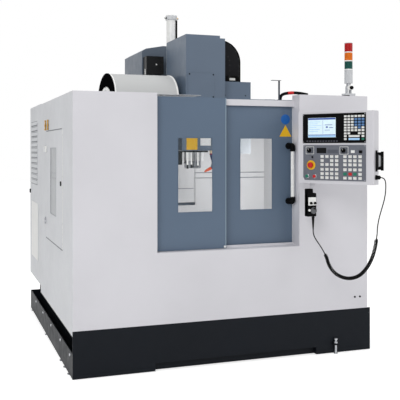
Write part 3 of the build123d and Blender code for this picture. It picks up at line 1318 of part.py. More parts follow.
def head_cover():
    """Folded head cover with a stepped top, an access plate and a manifold block."""
    corners = [(x, COVER_FRONT, z) for x, z in cover_outline(0, COVER_BOTTOM)]
    shell = prism(corners, (0, 1, 0), COVER_BACK - COVER_FRONT)
    front = COVER_FRONT + SHEET
    inside = [(x, front, z) for x, z in cover_outline(SHEET, COVER_BOTTOM - PAST)]
    shell -= prism(inside, (0, 1, 0), COVER_BACK - front + PAST)
    shell += block(ACCESS_LEFT, ACCESS_RIGHT, COVER_FRONT - SHEET, COVER_FRONT, ACCESS_BOTTOM, ACCESS_TOP)
    # Pads that carry the cover on the casting
    for side in (-1, 1):
        pad = sorted((side * CASTING_HALF_WIDTH, side * (HEAD_HALF_WIDTH - SHEET)))
        for z in (COVER_PAD_LOW, COVER_PAD_HIGH):
            shell += block(pad[0], pad[1], COVER_PAD_FRONT, COVER_PAD_FRONT + COVER_PAD, z, z + COVER_PAD_HEIGHT)
    manifold_z = COVER_BOTTOM + SHEET
    return shell + block(-HEAD_HALF_WIDTH - MANIFOLD_WIDTH, -HEAD_HALF_WIDTH, MANIFOLD_FRONT,
                         MANIFOLD_FRONT + MANIFOLD_DEPTH, manifold_z, manifold_z + MANIFOLD_HEIGHT)


def booster_cylinder():
    """Tool release cylinder with its cap, fittings and side rod."""
    x, y = BOOSTER_X, BOOSTER_Y
    cap_z = BOOSTER_TOP - BOOSTER_CAP
    body = post(x, y, CASTING_TOP, cap_z, BOOSTER_R)
    body += post(x, y, cap_z, BOOSTER_TOP, BOOSTER_CAP_R)
    z = BOOSTER_TOP - FITTING_DROP
    body += bar_x(x - FITTING_START - FITTING_LENGTH, x - FITTING_START, y - FITTING_Y, z, FITTING_R)
    body += bar_x(x + FITTING_START, x + FITTING_START + UNION_LENGTH, y - FITTING_Y, z, UNION_R)
    return body + post(x + SIDE_ROD_X, y - SIDE_ROD_Y, CASTING_TOP, cap_z, SIDE_ROD_R)


def spindle_motor():
    """Spindle motor on top of the casting."""
    half, top = MAIN_MOTOR_HALF, CASTING_TOP + MAIN_MOTOR_HEIGHT
    body = block(-half, half, SPINDLE_Y - half, SPINDLE_Y + half, CASTING_TOP, top)
    return body + post(0, SPINDLE_Y, top, top + MAIN_MOTOR_FAN, MAIN_MOTOR_FAN_R)


def coolant_nozzles():
    """Nozzle plate under the head, straight pipes and one adjustable hose."""
    y = PIPE_Y
    plate_z = CASTING_BOTTOM - PIPE_PLATE
    edge = HEAD_HALF_WIDTH - SHEET
    plate = block(-edge, edge, COVER_FRONT + SHEET, COVER_BACK, plate_z, CASTING_BOTTOM)
    plate -= post(0, SPINDLE_Y, plate_z - PAST, CASTING_BOTTOM + PAST, PIPE_BORE_R)
    for x, longer, radius in PIPES:
        plate += post(x, y, plate_z - PIPE_LENGTH - longer, plate_z, radius)
    line = FilletPolyline(*[(HOSE_X + dx, y - dy, plate_z - drop) for dx, dy, drop in HOSE_LINE],
                          radius=HOSE_BEND_R)
    section = Plane(origin=(HOSE_X, y, plate_z), z_dir=(0, 0, -1)) * Circle(HOSE_R)
    return plate + sweep(section, path=line) + post(HOSE_X, y, plate_z - HOSE_SOCKET, plate_z, HOSE_SOCKET_R)


def energy_chain():
    """Chain with a bolted end on the head, a quarter bend and a hanging leg."""
    half = CHAIN_WIDTH / 2
    front, back = CHAIN_Y - CHAIN_DEPTH / 2, CHAIN_Y + CHAIN_DEPTH / 2
    core = half - CHAIN_PLATE
    inner, outer = front + CHAIN_INSET, back - CHAIN_INSET
    leg_x = CHAIN_START_X + CHAIN_BEND
    run_z = CHAIN_BEND_Z + CHAIN_BEND
    plate_x = HEAD_HALF_WIDTH + CHAIN_INSET
    body = block(HEAD_HALF_WIDTH, plate_x, front - CHAIN_PLATE, back + CHAIN_PLATE, run_z - half, CHAIN_END_TOP)
    body += block(plate_x, CHAIN_START_X, inner, outer, run_z - core, run_z + core)
    ring = bar_y(CHAIN_START_X, inner, outer, CHAIN_BEND_Z, CHAIN_BEND + core)
    ring -= bar_y(CHAIN_START_X, front, back, CHAIN_BEND_Z, CHAIN_BEND - core)
    reach = CHAIN_BEND + CHAIN_WIDTH
    body += ring & block(CHAIN_START_X, CHAIN_START_X + reach, front, back, CHAIN_BEND_Z, CHAIN_BEND_Z + reach)
    body += block(leg_x - core, leg_x + core, inner, outer, CHAIN_END_Z, CHAIN_BEND_Z)
    link = Box(CHAIN_WIDTH, CHAIN_DEPTH, CHAIN_PITCH * CHAIN_LINK_SHARE)
    step = 90 / CHAIN_BEND_LINKS
    for index in range(CHAIN_BEND_LINKS):
        angle = (index + 0.5) * step
        turned = Pos(CHAIN_START_X, CHAIN_Y, CHAIN_BEND_Z) * Rot(0, angle - 90, 0) * Pos(CHAIN_BEND, 0, 0)
        body += turned * link
    count = int((CHAIN_BEND_Z - CHAIN_END_Z) / CHAIN_PITCH)
    for index in range(count):
        body += Pos(leg_x, CHAIN_Y, CHAIN_END_Z + (index + 0.5) * CHAIN_PITCH) * link
    return body


def spindle():
    """Spindle with its nose flange, drive keys and tapered socket."""
    flange_top = HOUSING_BOTTOM - NOSE_GAP
    body = post(0, SPINDLE_Y, NOSE_BOTTOM, flange_top, NOSE_R)
    body += post(0, SPINDLE_Y, flange_top, SPINDLE_TOP, SPINDLE_R)
    for side in (-1, 1):
        x = side * DRIVE_KEY_X
        body += block(x - DRIVE_KEY_LENGTH / 2, x + DRIVE_KEY_LENGTH / 2, SPINDLE_Y - DRIVE_KEY_WIDTH / 2,
                      SPINDLE_Y + DRIVE_KEY_WIDTH / 2, NOSE_BOTTOM - DRIVE_KEY_HEIGHT, NOSE_BOTTOM)
    return body - Pos(0, SPINDLE_Y, NOSE_BOTTOM + TAPER_DEPTH / 2) * Cone(TAPER_MOUTH_R, TAPER_END_R, TAPER_DEPTH)


def table_screw():
    """Screw along X under the table."""
    right = SADDLE_HALF_WIDTH - 2 * SCREW_END_GAP
    return bar_x(-TABLE_SCREW_LEFT, right, SPINDLE_Y, TABLE_SCREW_Z, TABLE_SCREW_R)


def saddle_screw():
    """Screw along Y under the saddle."""
    return bar_y(0, BED_FRONT + SCREW_END_GAP, BED_SCREW_END, BED_SCREW_Z, BED_SCREW_R)


def head_screw():
    """Upright screw of the head."""
    low = HEAD_BEARING_LOW - BEARING / 8
    return post(0, HEAD_SCREW_Y, low, HEAD_BEARING_HIGH + BEARING - SCREW_END_GAP, HEAD_SCREW_R)


def door_leaf(left, right, glass_x, front, hangers, hook_y):
    """Pressed door leaf with a framed window opening and hooks over the header rail."""
    back = front + LEAF_THICKNESS
    leaf = block(left, right, front, back, LEAF_BOTTOM, LEAF_TOP)
    leaf -= block(left + SHEET, right - SHEET, front + SHEET, back + PAST, LEAF_BOTTOM + SHEET, LEAF_TOP - SHEET)
    lip = GLASS_LIP + SHEET
    depth = front + FRAME_DEPTH
    leaf += block(glass_x[0] - lip, glass_x[1] + lip, front, depth, GLASS_BOTTOM - lip, GLASS_TOP + lip)
    leaf -= block(glass_x[0], glass_x[1], front - PAST, depth + PAST, GLASS_BOTTOM, GLASS_TOP)
    leaf -= block(glass_x[0] - GLASS_LIP, glass_x[1] + GLASS_LIP, front + SHEET, depth + PAST,
                  GLASS_BOTTOM - GLASS_LIP, GLASS_TOP + GLASS_LIP)
    for x in hangers:
        leaf += block(x - HOOK_HALF, x + HOOK_HALF, hook_y[0], hook_y[1], RAIL_TOP + HOOK_GAP, LEAF_TOP)
    return leaf


def left_leaf():
    """Front leaf, which slides behind the left panel."""
    left, right = DOORWAY_LEFT, LEAF_MEET_X + LEAF_OVERLAP
    hangers = (left + HANGER_INSET, right - HANGER_INSET)
    back = LEFT_LEAF_Y + LEAF_THICKNESS
    return door_leaf(left, right, LEFT_GLASS_X, LEFT_LEAF_Y, hangers, (back - SHEET, RAIL_FRONT + HOOK_OVER))


def right_leaf():
    """Rear leaf with the pull handle, which slides behind the left leaf."""
    right = DOORWAY_RIGHT - LEAF_EDGE_GAP
    bracket_left = BRACKET_RIGHT - BRACKET_FOOT
    hangers = (LEAF_MEET_X + RIGHT_HANGER_INSET, bracket_left - BRACKET_CLEAR - HOOK_HALF)
    hook = (RAIL_BACK - HOOK_OVER, RIGHT_LEAF_Y + SHEET)
    return door_leaf(LEAF_MEET_X, right, RIGHT_GLASS_X, RIGHT_LEAF_Y, hangers, hook)


def door_glass(glass_x, front):
    """Window pane set behind the lip of its leaf."""
    edge = GLASS_LIP - GLASS_EDGE_GAP
    return block(glass_x[0] - edge, glass_x[1] + edge, front + SHEET, front + SHEET + GLASS_THICKNESS,
                 GLASS_BOTTOM - edge, GLASS_TOP + edge)


def door_handle():
    """Round grip tube held by an elbow at each end."""
    x = DOORWAY_RIGHT - LEAF_EDGE_GAP - HANDLE_INSET
    pieces = [post(x, HANDLE_Y, GRIP_BOTTOM, GRIP_TOP, HANDLE_R)]
    front = HANDLE_Y - HANDLE_R - 1
    left = x - HANDLE_INSET - 1.5
    for z0, height in ((ELBOW_LOW, ELBOW_LOW_HEIGHT), (ELBOW_HIGH, ELBOW_HIGH_HEIGHT)):
        z1 = z0 + height
        pieces.append(block(left, left + ELBOW_WIDTH, front, front + ELBOW_DEPTH, z0, z1))
        pieces.append(block(left, left + ELBOW_FOOT_WIDTH, front + ELBOW_DEPTH, RIGHT_LEAF_Y,
                            z0 + ELBOW_STEP, z1 - ELBOW_STEP))
    return join(pieces)


def side_door():
    """Left side door: pressed sheet with a tall window opening, a lock and its hinge knuckles."""
    x0 = -HALF_WIDTH
    x1 = x0 + SIDE_DOOR_THICKNESS
    (y0, y1), (z0, z1) = SIDE_DOOR_Y, SIDE_DOOR_Z
    door = block(x0, x1, y0, y1, z0, z1)
    door -= block(x0 + SHEET, x1 + PAST, y0 + SHEET, y1 - SHEET, z0 + SHEET, z1 - SHEET)
    (glass_y0, glass_y1), (glass_z0, glass_z1) = SIDE_GLASS_Y, SIDE_GLASS_Z
    lip = GLASS_LIP + SHEET
    depth = x0 + FRAME_DEPTH
    door += block(x0, depth, glass_y0 - lip, glass_y1 + lip, glass_z0 - lip, glass_z1 + lip)
    door -= block(x0 - PAST, depth + PAST, glass_y0, glass_y1, glass_z0, glass_z1)
    door -= block(x0 + SHEET, depth + PAST, glass_y0 - GLASS_LIP, glass_y1 + GLASS_LIP,
                  glass_z0 - GLASS_LIP, glass_z1 + GLASS_LIP)
    lock_y, lock_x = y0 + LOCK_Y, x0 - LOCK_HEIGHT
    door += bar_x(lock_x, x0, lock_y, LOCK_Z, LOCK_R)
    door += block(lock_x - LOCK_BAR, lock_x, lock_y - LOCK_BAR_WIDTH / 2, lock_y + LOCK_BAR_WIDTH / 2,
                  LOCK_Z - LOCK_BAR_HALF, LOCK_Z + LOCK_BAR_HALF)
    for z in HINGE_Z:
        low = z - HINGE_KNUCKLE / 2
        knuckle = side_hinge_leaf(low, -1, HINGE_DOOR_REACH, HINGE_PAD)
        door += knuckle - post(x0 - HINGE_OUT, y1 + HINGE_PAST_EDGE, low - PAST, low + HINGE_KNUCKLE + PAST,
                               HINGE_PIN_R + FIT)
    return door


def side_window():
    """Pane of the side door."""
    edge = GLASS_LIP - GLASS_EDGE_GAP
    x0 = -HALF_WIDTH + SHEET
    return block(x0, x0 + GLASS_THICKNESS, SIDE_GLASS_Y[0] - edge, SIDE_GLASS_Y[1] + edge,
                 SIDE_GLASS_Z[0] - edge, SIDE_GLASS_Z[1] + edge)


def cabinet_door():
    """Rear door of the cabinet with its hinge knuckles."""
    margin = CABINET_FRAME + DOOR_GAP
    x0, x1 = -HALF_WIDTH + margin, CABINET_RIGHT - margin
    z0, z1 = CABINET_BOTTOM + margin, CABINET_TOP - margin
    y0 = CABINET_BACK - CABINET_DOOR_THICKNESS
    door = block(x0, x1, y0, CABINET_BACK, z0, z1)
    door -= block(x0 + SHEET, x1 - SHEET, y0 - PAST, CABINET_BACK - SHEET, z0 + SHEET, z1 - SHEET)
    door -= bar_y(-HALF_WIDTH + ISOLATOR_INSET, CABINET_BACK - SHEET - PAST, CABINET_BACK + PAST, ISOLATOR_Z,
                  ISOLATOR_SHAFT_R + FIT)
    hinge_x, hinge_y = CABINET_RIGHT - CABINET_HINGE_INSET, CABINET_BACK + CABINET_HINGE_OUT
    height = CABINET_KNUCKLE - 2 * HINGE_END_GAP
    for bracket_z in CABINET_HINGE_Z:
        z = bracket_z + CABINET_KNUCKLE + HINGE_END_GAP
        knuckle = post(hinge_x, hinge_y, z, z + height, CABINET_HINGE_R)
        knuckle += block(x1 - CABINET_HINGE_PAD, hinge_x, hinge_y - CABINET_HINGE_LEAF,
                         hinge_y + CABINET_HINGE_LEAF, z, z + height)
        knuckle += block(x1 - CABINET_HINGE_PAD, x1 - CABINET_HINGE_PAD / 3, CABINET_BACK, hinge_y, z, z + height)
        door += knuckle - post(hinge_x, hinge_y, z - PAST, z + CABINET_KNUCKLE, HINGE_PIN_R + FIT)
    return door


def isolator_knob():
    """Main isolator knob with its grip bar and shaft."""
    x, z = -HALF_WIDTH + ISOLATOR_INSET, ISOLATOR_Z
    face = CABINET_BACK + ISOLATOR_GAP
    top = CABINET_BACK + ISOLATOR_DEPTH
    half = ISOLATOR_SHAFT_R
    knob = bar_y(x, CABINET_BACK - ISOLATOR_DEPTH_IN, face, z, ISOLATOR_SHAFT_R)
    knob += bar_y(x, face, top, z, ISOLATOR_R)
    return knob + block(x - half, x + half, top, top + ISOLATOR_BAR, z - ISOLATOR_BAR_HALF, z + ISOLATOR_BAR_HALF)


def magazine_carriage():
    """Carriage under the magazine rails: plate, runner blocks, post, pivot pin and motor."""
    top = MAGAZINE_RAIL_Z - CARRIAGE_DROP
    low = top - CARRIAGE_PLATE
    plate = block(CARRIAGE_LEFT, CARRIAGE_RIGHT, SPINDLE_Y - CARRIAGE_HALF_DEPTH, SPINDLE_Y + CARRIAGE_HALF_DEPTH,
                  low, top)
    slot = MAGAZINE_RAIL_HALF + RUNNER_GAP
    runner_top = MAGAZINE_RAIL_Z + CARRIAGE_RUNNER_RISE
    half = CARRIAGE_RUNNER_HALF
    for side in (-1, 1):
        y = SPINDLE_Y + side * MAGAZINE_RAIL_Y
        for x in CARRIAGE_RUNNER_X:
            body = block(x - half, x + half, y - HEAD_RUNNER_HALF, y + HEAD_RUNNER_HALF, top, runner_top)
            plate += body - block(x - half - PAST, x + half + PAST, y - slot, y + slot,
                                  MAGAZINE_RAIL_Z - RUNNER_GAP, runner_top + PAST)
    plate += post(MAGAZINE_X, SPINDLE_Y, CARRIAGE_POST_Z, low, CARRIAGE_POST_R)
    plate += post(MAGAZINE_X, SPINDLE_Y, PIVOT_BOTTOM, CARRIAGE_POST_Z, PIVOT_R)
    plate += post(MAGAZINE_X, SPINDLE_Y, PIVOT_BOTTOM - PIVOT_CAP, PIVOT_BOTTOM, PIVOT_CAP_R)
    foot_top = top + MAGAZINE_MOTOR_FOOT
    plate += post(MAGAZINE_MOTOR_X, SPINDLE_Y, top, foot_top, MAGAZINE_MOTOR_FOOT_R)
    return plate + post(MAGAZINE_MOTOR_X, SPINDLE_Y, foot_top, foot_top + MAGAZINE_MOTOR, MAGAZINE_MOTOR_R)


def carousel():
    """Tool disc with a hub and a pair of gripper fingers for each tool."""
    top = GRIP_Z + GRIP_THICKNESS
    hub = post(0, 0, GRIP_Z - HUB_LOW, GRIP_Z + HUB_HIGH, HUB_R) + post(0, 0, GRIP_Z, top, DISC_R)
    hub -= post(0, 0, GRIP_Z - HUB_LOW - PAST, GRIP_Z + HUB_HIGH + PAST, PIVOT_R + FIT)
    inner = HOLDER_NECK_R + FINGER_GAP
    for index in range(POT_COUNT):
        turn = Rot(0, 0, index * 360 / POT_COUNT)
        for side in (-1, 1):
            finger = sorted((side * inner, side * (inner + FINGER_WIDTH)))
            hub += turn * block(FINGER_START, PITCH_R + FINGER_REACH, finger[0], finger[1], GRIP_Z, top)
    return Pos(MAGAZINE_X, SPINDLE_Y, 0) * hub


def tool_holder():
    """Tapered holder with its flange, neck, collar, chuck and cutter, turned about Z."""
    top = GRIP_Z + GRIP_THICKNESS
    collar_top = GRIP_Z - 1
    collar = collar_top - HOLDER_COLLAR
    taper = top + HOLDER_FLANGE
    chuck = collar - CHUCK_LENGTH
    steps = ((chuck - CUTTER_LENGTH, CUTTER_R), (chuck, CUTTER_R), (chuck, CHUCK_R), (collar, CHUCK_R),
             (collar, HOLDER_FLANGE_R), (collar_top, HOLDER_FLANGE_R), (collar_top, HOLDER_NECK_R),
             (top, HOLDER_NECK_R), (top, HOLDER_FLANGE_R), (taper, HOLDER_FLANGE_R), (taper, HOLDER_TAPER_BASE_R),
             (taper + HOLDER_TAPER, HOLDER_TAPER_TIP_R))
    low, high = steps[0][0], steps[-1][0]
    outline = Polyline((0, 0, low), *[(radius, 0, z) for z, radius in steps], (0, 0, high), close=True)
    return revolve(make_face(outline), axis=Axis.Z)


def tool_holders():
    """Tool holders, each hanging by its flange on a pair of fingers."""
    holder = tool_holder()
    return [Pos(MAGAZINE_X, SPINDLE_Y, 0) * Rot(0, 0, index * 360 / POT_COUNT) * Pos(PITCH_R, 0, 0) * holder
            for index in LOADED_POTS]


def console_box():
    """Swivelling console housing with its hinge pin, knuckles and hanging tab."""
    z0, z1 = CONSOLE_Z
    box = block(0, CONSOLE_WIDTH, 0, CONSOLE_DEPTH, z0, z1)
    box = fillet(box.edges().filter_by(Axis.Z), CONSOLE_CORNER_R)
    box -= block(SHEET, CONSOLE_WIDTH - SHEET, SHEET, CONSOLE_DEPTH - SHEET, z0 + SHEET, z1 - SHEET)
    for (t0, t1), (low, high) in ((SCREEN_T, SCREEN_Z), (PANEL_T, PANEL_Z)):
        box -= block(t0 + FACE_LAP, t1 - FACE_LAP, -PAST, SHEET + PAST, low + FACE_LAP, high - FACE_LAP)
    pin_t, pin_w = CONSOLE_PIN
    low, high = z0 + BRACKET_LOW, z1 - BRACKET_HIGH
    reach = CONSOLE_KNUCKLE + CONSOLE_KNUCKLE_GAP
    box += post(pin_t, pin_w, low - reach, high + BRACKET_HEIGHT + reach, CONSOLE_PIN_R)
    # Knuckles above and below each bracket of the front panel
    for bracket in (low, high):
        for z in (bracket - reach, bracket + BRACKET_HEIGHT + CONSOLE_KNUCKLE_GAP):
            box += post(pin_t, pin_w, z, z + CONSOLE_KNUCKLE, CONSOLE_BARREL_R)
            box += block(pin_t, CONSOLE_KNUCKLE_T, CONSOLE_DEPTH, pin_w + BRACKET_BEHIND, z, z + CONSOLE_KNUCKLE)
    # Tab that the hand pendant hangs from
    box += block(HANGER_T[0], HANGER_T[1], HANGER_W[0], HANGER_W[1], PENDANT_Z[1], z0 + PAST)
    return on_console(box)


def raised(place, size, lift):
    """A block that stands out of a face plate of the console."""
    (t, z), (width, height) = place, size
    return block(t - width / 2, t + width / 2, -FACE_PLATE - lift, -FACE_PLATE, z - height / 2, z + height / 2)


def screen_keys():
    """Key field beside the screen: full rows, a split row and two rows with a long key."""
    keys = []
    for row in range(KEY_FULL_ROWS + 3):
        z = KEY_Z - row * KEY_PITCH_Z
        columns = range(KEY_COLUMNS) if row < KEY_FULL_ROWS else (0, 1, KEY_COLUMNS - 2, KEY_COLUMNS - 1)
        if row > KEY_FULL_ROWS:
            columns = (0, KEY_COLUMNS - 1)
            middle = KEY_T + (KEY_COLUMNS - 1) * KEY_PITCH_T / 2
            long_key = (3 * KEY_PITCH_T + KEY_SIZE[0], KEY_SIZE[1])
            keys.append(raised((middle, z), long_key, KEY_LIFT))
        keys += [raised((KEY_T + column_index * KEY_PITCH_T, z), KEY_SIZE, KEY_LIFT) for column_index in columns]
    return keys


def screen_unit():
    """Screen with its sunken glass, the key field and the housing behind it."""
    (t0, t1), (z0, z1) = SCREEN_T, SCREEN_Z
    body = block(t0, t1, -FACE_PLATE, 0, z0, z1)
    body += block(t0 + REAR_INSET, t1 - REAR_INSET, 0, SCREEN_DEPTH, z0 + REAR_INSET, z1 - REAR_INSET)
    body -= block(GLASS_T[0], GLASS_T[1], -FACE_PLATE - PAST, -FACE_PLATE + GLASS_SINK, GLASS_Z[0], GLASS_Z[1])
    soft = [raised((SOFT_KEY_T + index * SOFT_KEY_PITCH, SOFT_KEY_Z), SOFT_KEY_SIZE, KEY_LIFT)
            for index in range(SOFT_KEYS)]
    return on_console(join([body] + screen_keys() + soft))


def panel_keys():
    """Two fields of keys on the machine panel, one place left free."""
    keys = []
    for row in range(PANEL_KEY_ROWS):
        z = PANEL_KEY_Z - row * PANEL_KEY_DROP
        for index in range(PANEL_KEY_COLUMNS):
            if (row, index) != (1, 1):
                keys.append(raised((PANEL_LEFT_T + index * PANEL_LEFT_PITCH, z), PANEL_KEY_SIZE, PANEL_KEY_LIFT))
            keys.append(raised((PANEL_RIGHT_T + index * PANEL_RIGHT_PITCH, z), PANEL_KEY_SIZE, PANEL_KEY_LIFT))
    return keys


def operator_panel():
    """Machine panel with keys, dial scales, switches and the holes of its controls."""
    (t0, t1), (z0, z1) = PANEL_T, PANEL_Z
    corners = [(t0, 0, z0 + PANEL_CUT_Z), (t0 + PANEL_CUT_T, 0, z0), (t1, 0, z0), (t1, 0, z1), (t0, 0, z1)]
    body = prism(corners, (0, -1, 0), FACE_PLATE)
    body += block(t0 + REAR_INSET, t1 - REAR_INSET, 0, PANEL_DEPTH, z0 + REAR_INSET, z1 - REAR_INSET)
    fittings = [raised(FEED_DIAL, DIAL_FIELD, FIELD_LIFT), raised(MODE_DIAL, DIAL_FIELD, FIELD_LIFT),
                raised(LABEL_FIELD, LABEL_SIZE, FIELD_LIFT), raised(OVAL_SWITCH, OVAL_SIZE, OVAL_LIFT),
                raised(KEY_SWITCH, KEY_SWITCH_SIZE, KEY_SWITCH_LIFT), raised(TOGGLE, TOGGLE_SIZE, TOGGLE_LIFT),
                bar_y(ESTOP[0], -FACE_PLATE - ESTOP_RING, -FACE_PLATE, ESTOP[1], ESTOP_RING_R)]
    panel = join([body] + panel_keys() + fittings)
    stem, shaft = BUTTON_STEM_R + FIT, DIAL_SHAFT_R + FIT
    for (t, z), radius in ((ESTOP, stem), (START, stem), (STOP, stem), (FEED_DIAL, shaft), (MODE_DIAL, shaft)):
        panel -= bar_y(t, -FACE_PLATE - ESTOP_RING - PAST, CONTROL_BORE, z, radius)
    return on_console(panel)


def console_handle():
    """Pull handle on the right end of the console, with its mounting plate."""
    t = CONSOLE_WIDTH
    foot = t + PULL_PLATE_THICKNESS
    pieces = [block(t, foot, PULL_PLATE[0], PULL_PLATE[1], PULL_PLATE_Z[0], PULL_PLATE_Z[1])]
    pieces += [bar_x(foot, foot + PULL_ARM, PULL_W, z, PULL_ARM_R) for z in PULL_ARM_Z]
    pieces.append(post(t + PULL_GRIP_OUT, PULL_W, PULL_GRIP_Z[0], PULL_GRIP_Z[1], PULL_GRIP_R))
    return on_console(join(pieces))


def push_button(place, radius, head):
    """Round button whose stem runs in the panel."""
    t, z = place
    seat = -FACE_PLATE - BUTTON_LIFT
    body = bar_y(t, seat, BUTTON_STEM, z, BUTTON_STEM_R)
    return on_console(body + bar_y(t, seat - head, seat, z, radius))


def dial(place):
    """Rotary selector with a pointer wing."""
    t, z = place
    low = -FACE_PLATE - FIELD_LIFT - DIAL_LIFT
    top = low - DIAL_HEIGHT
    body = bar_y(t, low, BUTTON_STEM, z, DIAL_SHAFT_R) + bar_y(t, top, low, z, DIAL_R)
    wing = block(t - DIAL_WING_HALF, t + DIAL_WING_HALF, top - DIAL_WING, top, z - DIAL_R, z + DIAL_R)
    return on_console(body + wing)


def pendant():
    """Hand pendant with selector knobs and the strain relief of its lead."""
    x, y = PENDANT_XY
    half_x, half_y = PENDANT_SIZE[0] / 2, PENDANT_SIZE[1] / 2
    body = block(x - half_x, x + half_x, y - half_y, y + half_y, PENDANT_Z[0], PENDANT_Z[1])
    body = chamfer(body.edges().filter_by(Axis.Z), PENDANT_CHAMFER)
    face = y - half_y
    for dx in PENDANT_KNOB_X:
        body += bar_y(x + dx, face - PENDANT_KNOB, face, PENDANT_KNOB_Z, PENDANT_KNOB_R)
    body += bar_y(x + PENDANT_KNOB_X[0], face - PENDANT_PLUG, face, PENDANT_PLUG_Z, PENDANT_KNOB_R)
    lead_x, lead_y = to_world(CORD_START_T, CORD_W)
    body += post(lead_x, lead_y, PENDANT_Z[0] - RELIEF, PENDANT_Z[0], RELIEF_R)
    return body - bar_y(x + WHEEL_X, face - PAST, face + WHEEL_BORE, WHEEL_Z, WHEEL_SHAFT_R + FIT)


def handwheel():
    """Wheel on the face of the pendant with a crank pin."""
    x, z = PENDANT_XY[0] + WHEEL_X, WHEEL_Z
    face = PENDANT_XY[1] - PENDANT_SIZE[1] / 2
    rim = face - WHEEL_GAP
    top = rim - WHEEL_THICKNESS
    wheel = bar_y(x, rim, face + WHEEL_SHAFT, z, WHEEL_SHAFT_R) + bar_y(x, top, rim, z, WHEEL_R)
    return wheel + bar_y(x, top - CRANK, top, z + CRANK_RISE, CRANK_R)


def cord_route(points):
    """Straight runs joined by the largest tangent arcs that their lengths allow."""
    places = [Vector(t, CORD_W, z) for t, z in points]
    radii = []
    for before, here, after in zip(places, places[1:], places[2:]):
        first, second = here - before, after - here
        half_turn = math.radians(first.get_angle(second)) / 2
        radii.append(ARC_SHARE * min(first.length, second.length) / math.tan(half_turn))
    return FilletPolyline(*places, radius=radii), radii


def cord(name, points, radius):
    """One stretch of cord swept along its route."""
    path, radii = cord_route(points)
    start = Vector(points[0][0], CORD_W, points[0][1])
    toward = Vector(points[1][0], CORD_W, points[1][1]) - start
    tube = sweep(Plane(origin=start, z_dir=toward) * Circle(radius), path=path)
    expected = math.pi * radius ** 2 * path.length
    print(f"{name}: length {path.length:.1f}, radii {[round(r) for r in radii]}, "
          f"volume ratio {tube.volume / expected:.4f}")
    return on_console(tube)


def lead_connector():
    """Round connector on the right end of the console."""
    t = CONSOLE_WIDTH
    flange = t + CONNECTOR_FLANGE
    body = bar_x(t, flange, CORD_W, CONNECTOR_Z, CONNECTOR_FLANGE_R)
    return on_console(body + bar_x(flange, flange + CONNECTOR, CORD_W, CONNECTOR_Z, CONNECTOR_R))


def build():
    """Make and write every node."""
    save("base_tank", *base_tank())
    save("levelling_feet", *levelling_feet())
    save("machine_bed", machine_bed())
    save("column", column())
    save("guide_rails", *guide_rails())
    save("servo_motors", *servo_motors())
    save("front_panel", front_panel())
    save("door_frame", door_frame())
    save("left_side_panel", left_side_panel())
    save("right_side_panel", right_side_panel())
    save("work_area_guard", work_area_guard())
    save("electrical_cabinet", electrical_cabinet())
    save("magazine_cover", magazine_cover())
    save("roof_plate", roof_plate())
    save("chain_trough", chain_trough())
    save("roof_bracket", roof_bracket())
    save("light_bracket", light_bracket())
    save("saddle", saddle())
    save("saddle_rails", *saddle_rails())
    table_motor = servo_motor(TABLE_MOTOR_LENGTH, TABLE_MOTOR_SIZE)
    save("table_servo_motor", Pos(SADDLE_HALF_WIDTH, SPINDLE_Y, TABLE_SCREW_Z) * table_motor)
    save("work_table", work_table())
    save("head_casting", head_casting())
    save("head_cover", head_cover())
    save("spindle_motor", spindle_motor())
    save("booster_cylinder", booster_cylinder())
    save("coolant_nozzles", coolant_nozzles())
    save("energy_chain", energy_chain())
    save("spindle", spindle())
    save("table_screw", table_screw())
    save("saddle_screw", saddle_screw())
    save("head_screw", head_screw())
    save("left_leaf", left_leaf())
    save("left_window", door_glass(LEFT_GLASS_X, LEFT_LEAF_Y))
    save("right_leaf", right_leaf())
    save("right_window", door_glass(RIGHT_GLASS_X, RIGHT_LEAF_Y))
    save("door_handle", door_handle())
    save("side_door", side_door())
    save("side_window", side_window())
    save("cabinet_door", cabinet_door())
    save("isolator_knob", isolator_knob())
    save("console_box", console_box())
    save("screen_unit", screen_unit())
    save("operator_panel", operator_panel())
    save("console_handle", console_handle())
    save("emergency_stop", push_button(ESTOP, ESTOP_R, ESTOP_HEAD))
    save("start_button", push_button(START, BUTTON_R, BUTTON_HEAD))
    save("stop_button", push_button(STOP, BUTTON_R, BUTTON_HEAD))
    save("feed_dial", dial(FEED_DIAL))
    save("mode_dial", dial(MODE_DIAL))
    save("pendant", pendant())
    save("handwheel", handwheel())
    save("pendant_lead", cord("pendant_lead", PENDANT_LEAD, LEAD_R))
    save("curly_cord", cord("curly_cord", CURLY_CORD, CURL_R))
    save("console_lead", cord("console_lead", CONSOLE_LEAD, LEAD_R))
    save("lead_connector", lead_connector())
    save("light_post", light_post())
    save("light_lenses", *light_lenses())
    save("magazine_carriage", magazine_carriage())
    save("carousel", carousel())
    save("tool_holders", *tool_holders())


build()
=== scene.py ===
"""Looks of an enclosed vertical machining center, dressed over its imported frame."""

import logging
import math
from abc import ABC, abstractmethod
from dataclasses import dataclass, field
from enum import Enum
from typing import Callable, Iterable, Optional, Protocol, Sequence

import bmesh
import bpy
from mathutils import Matrix, Vector


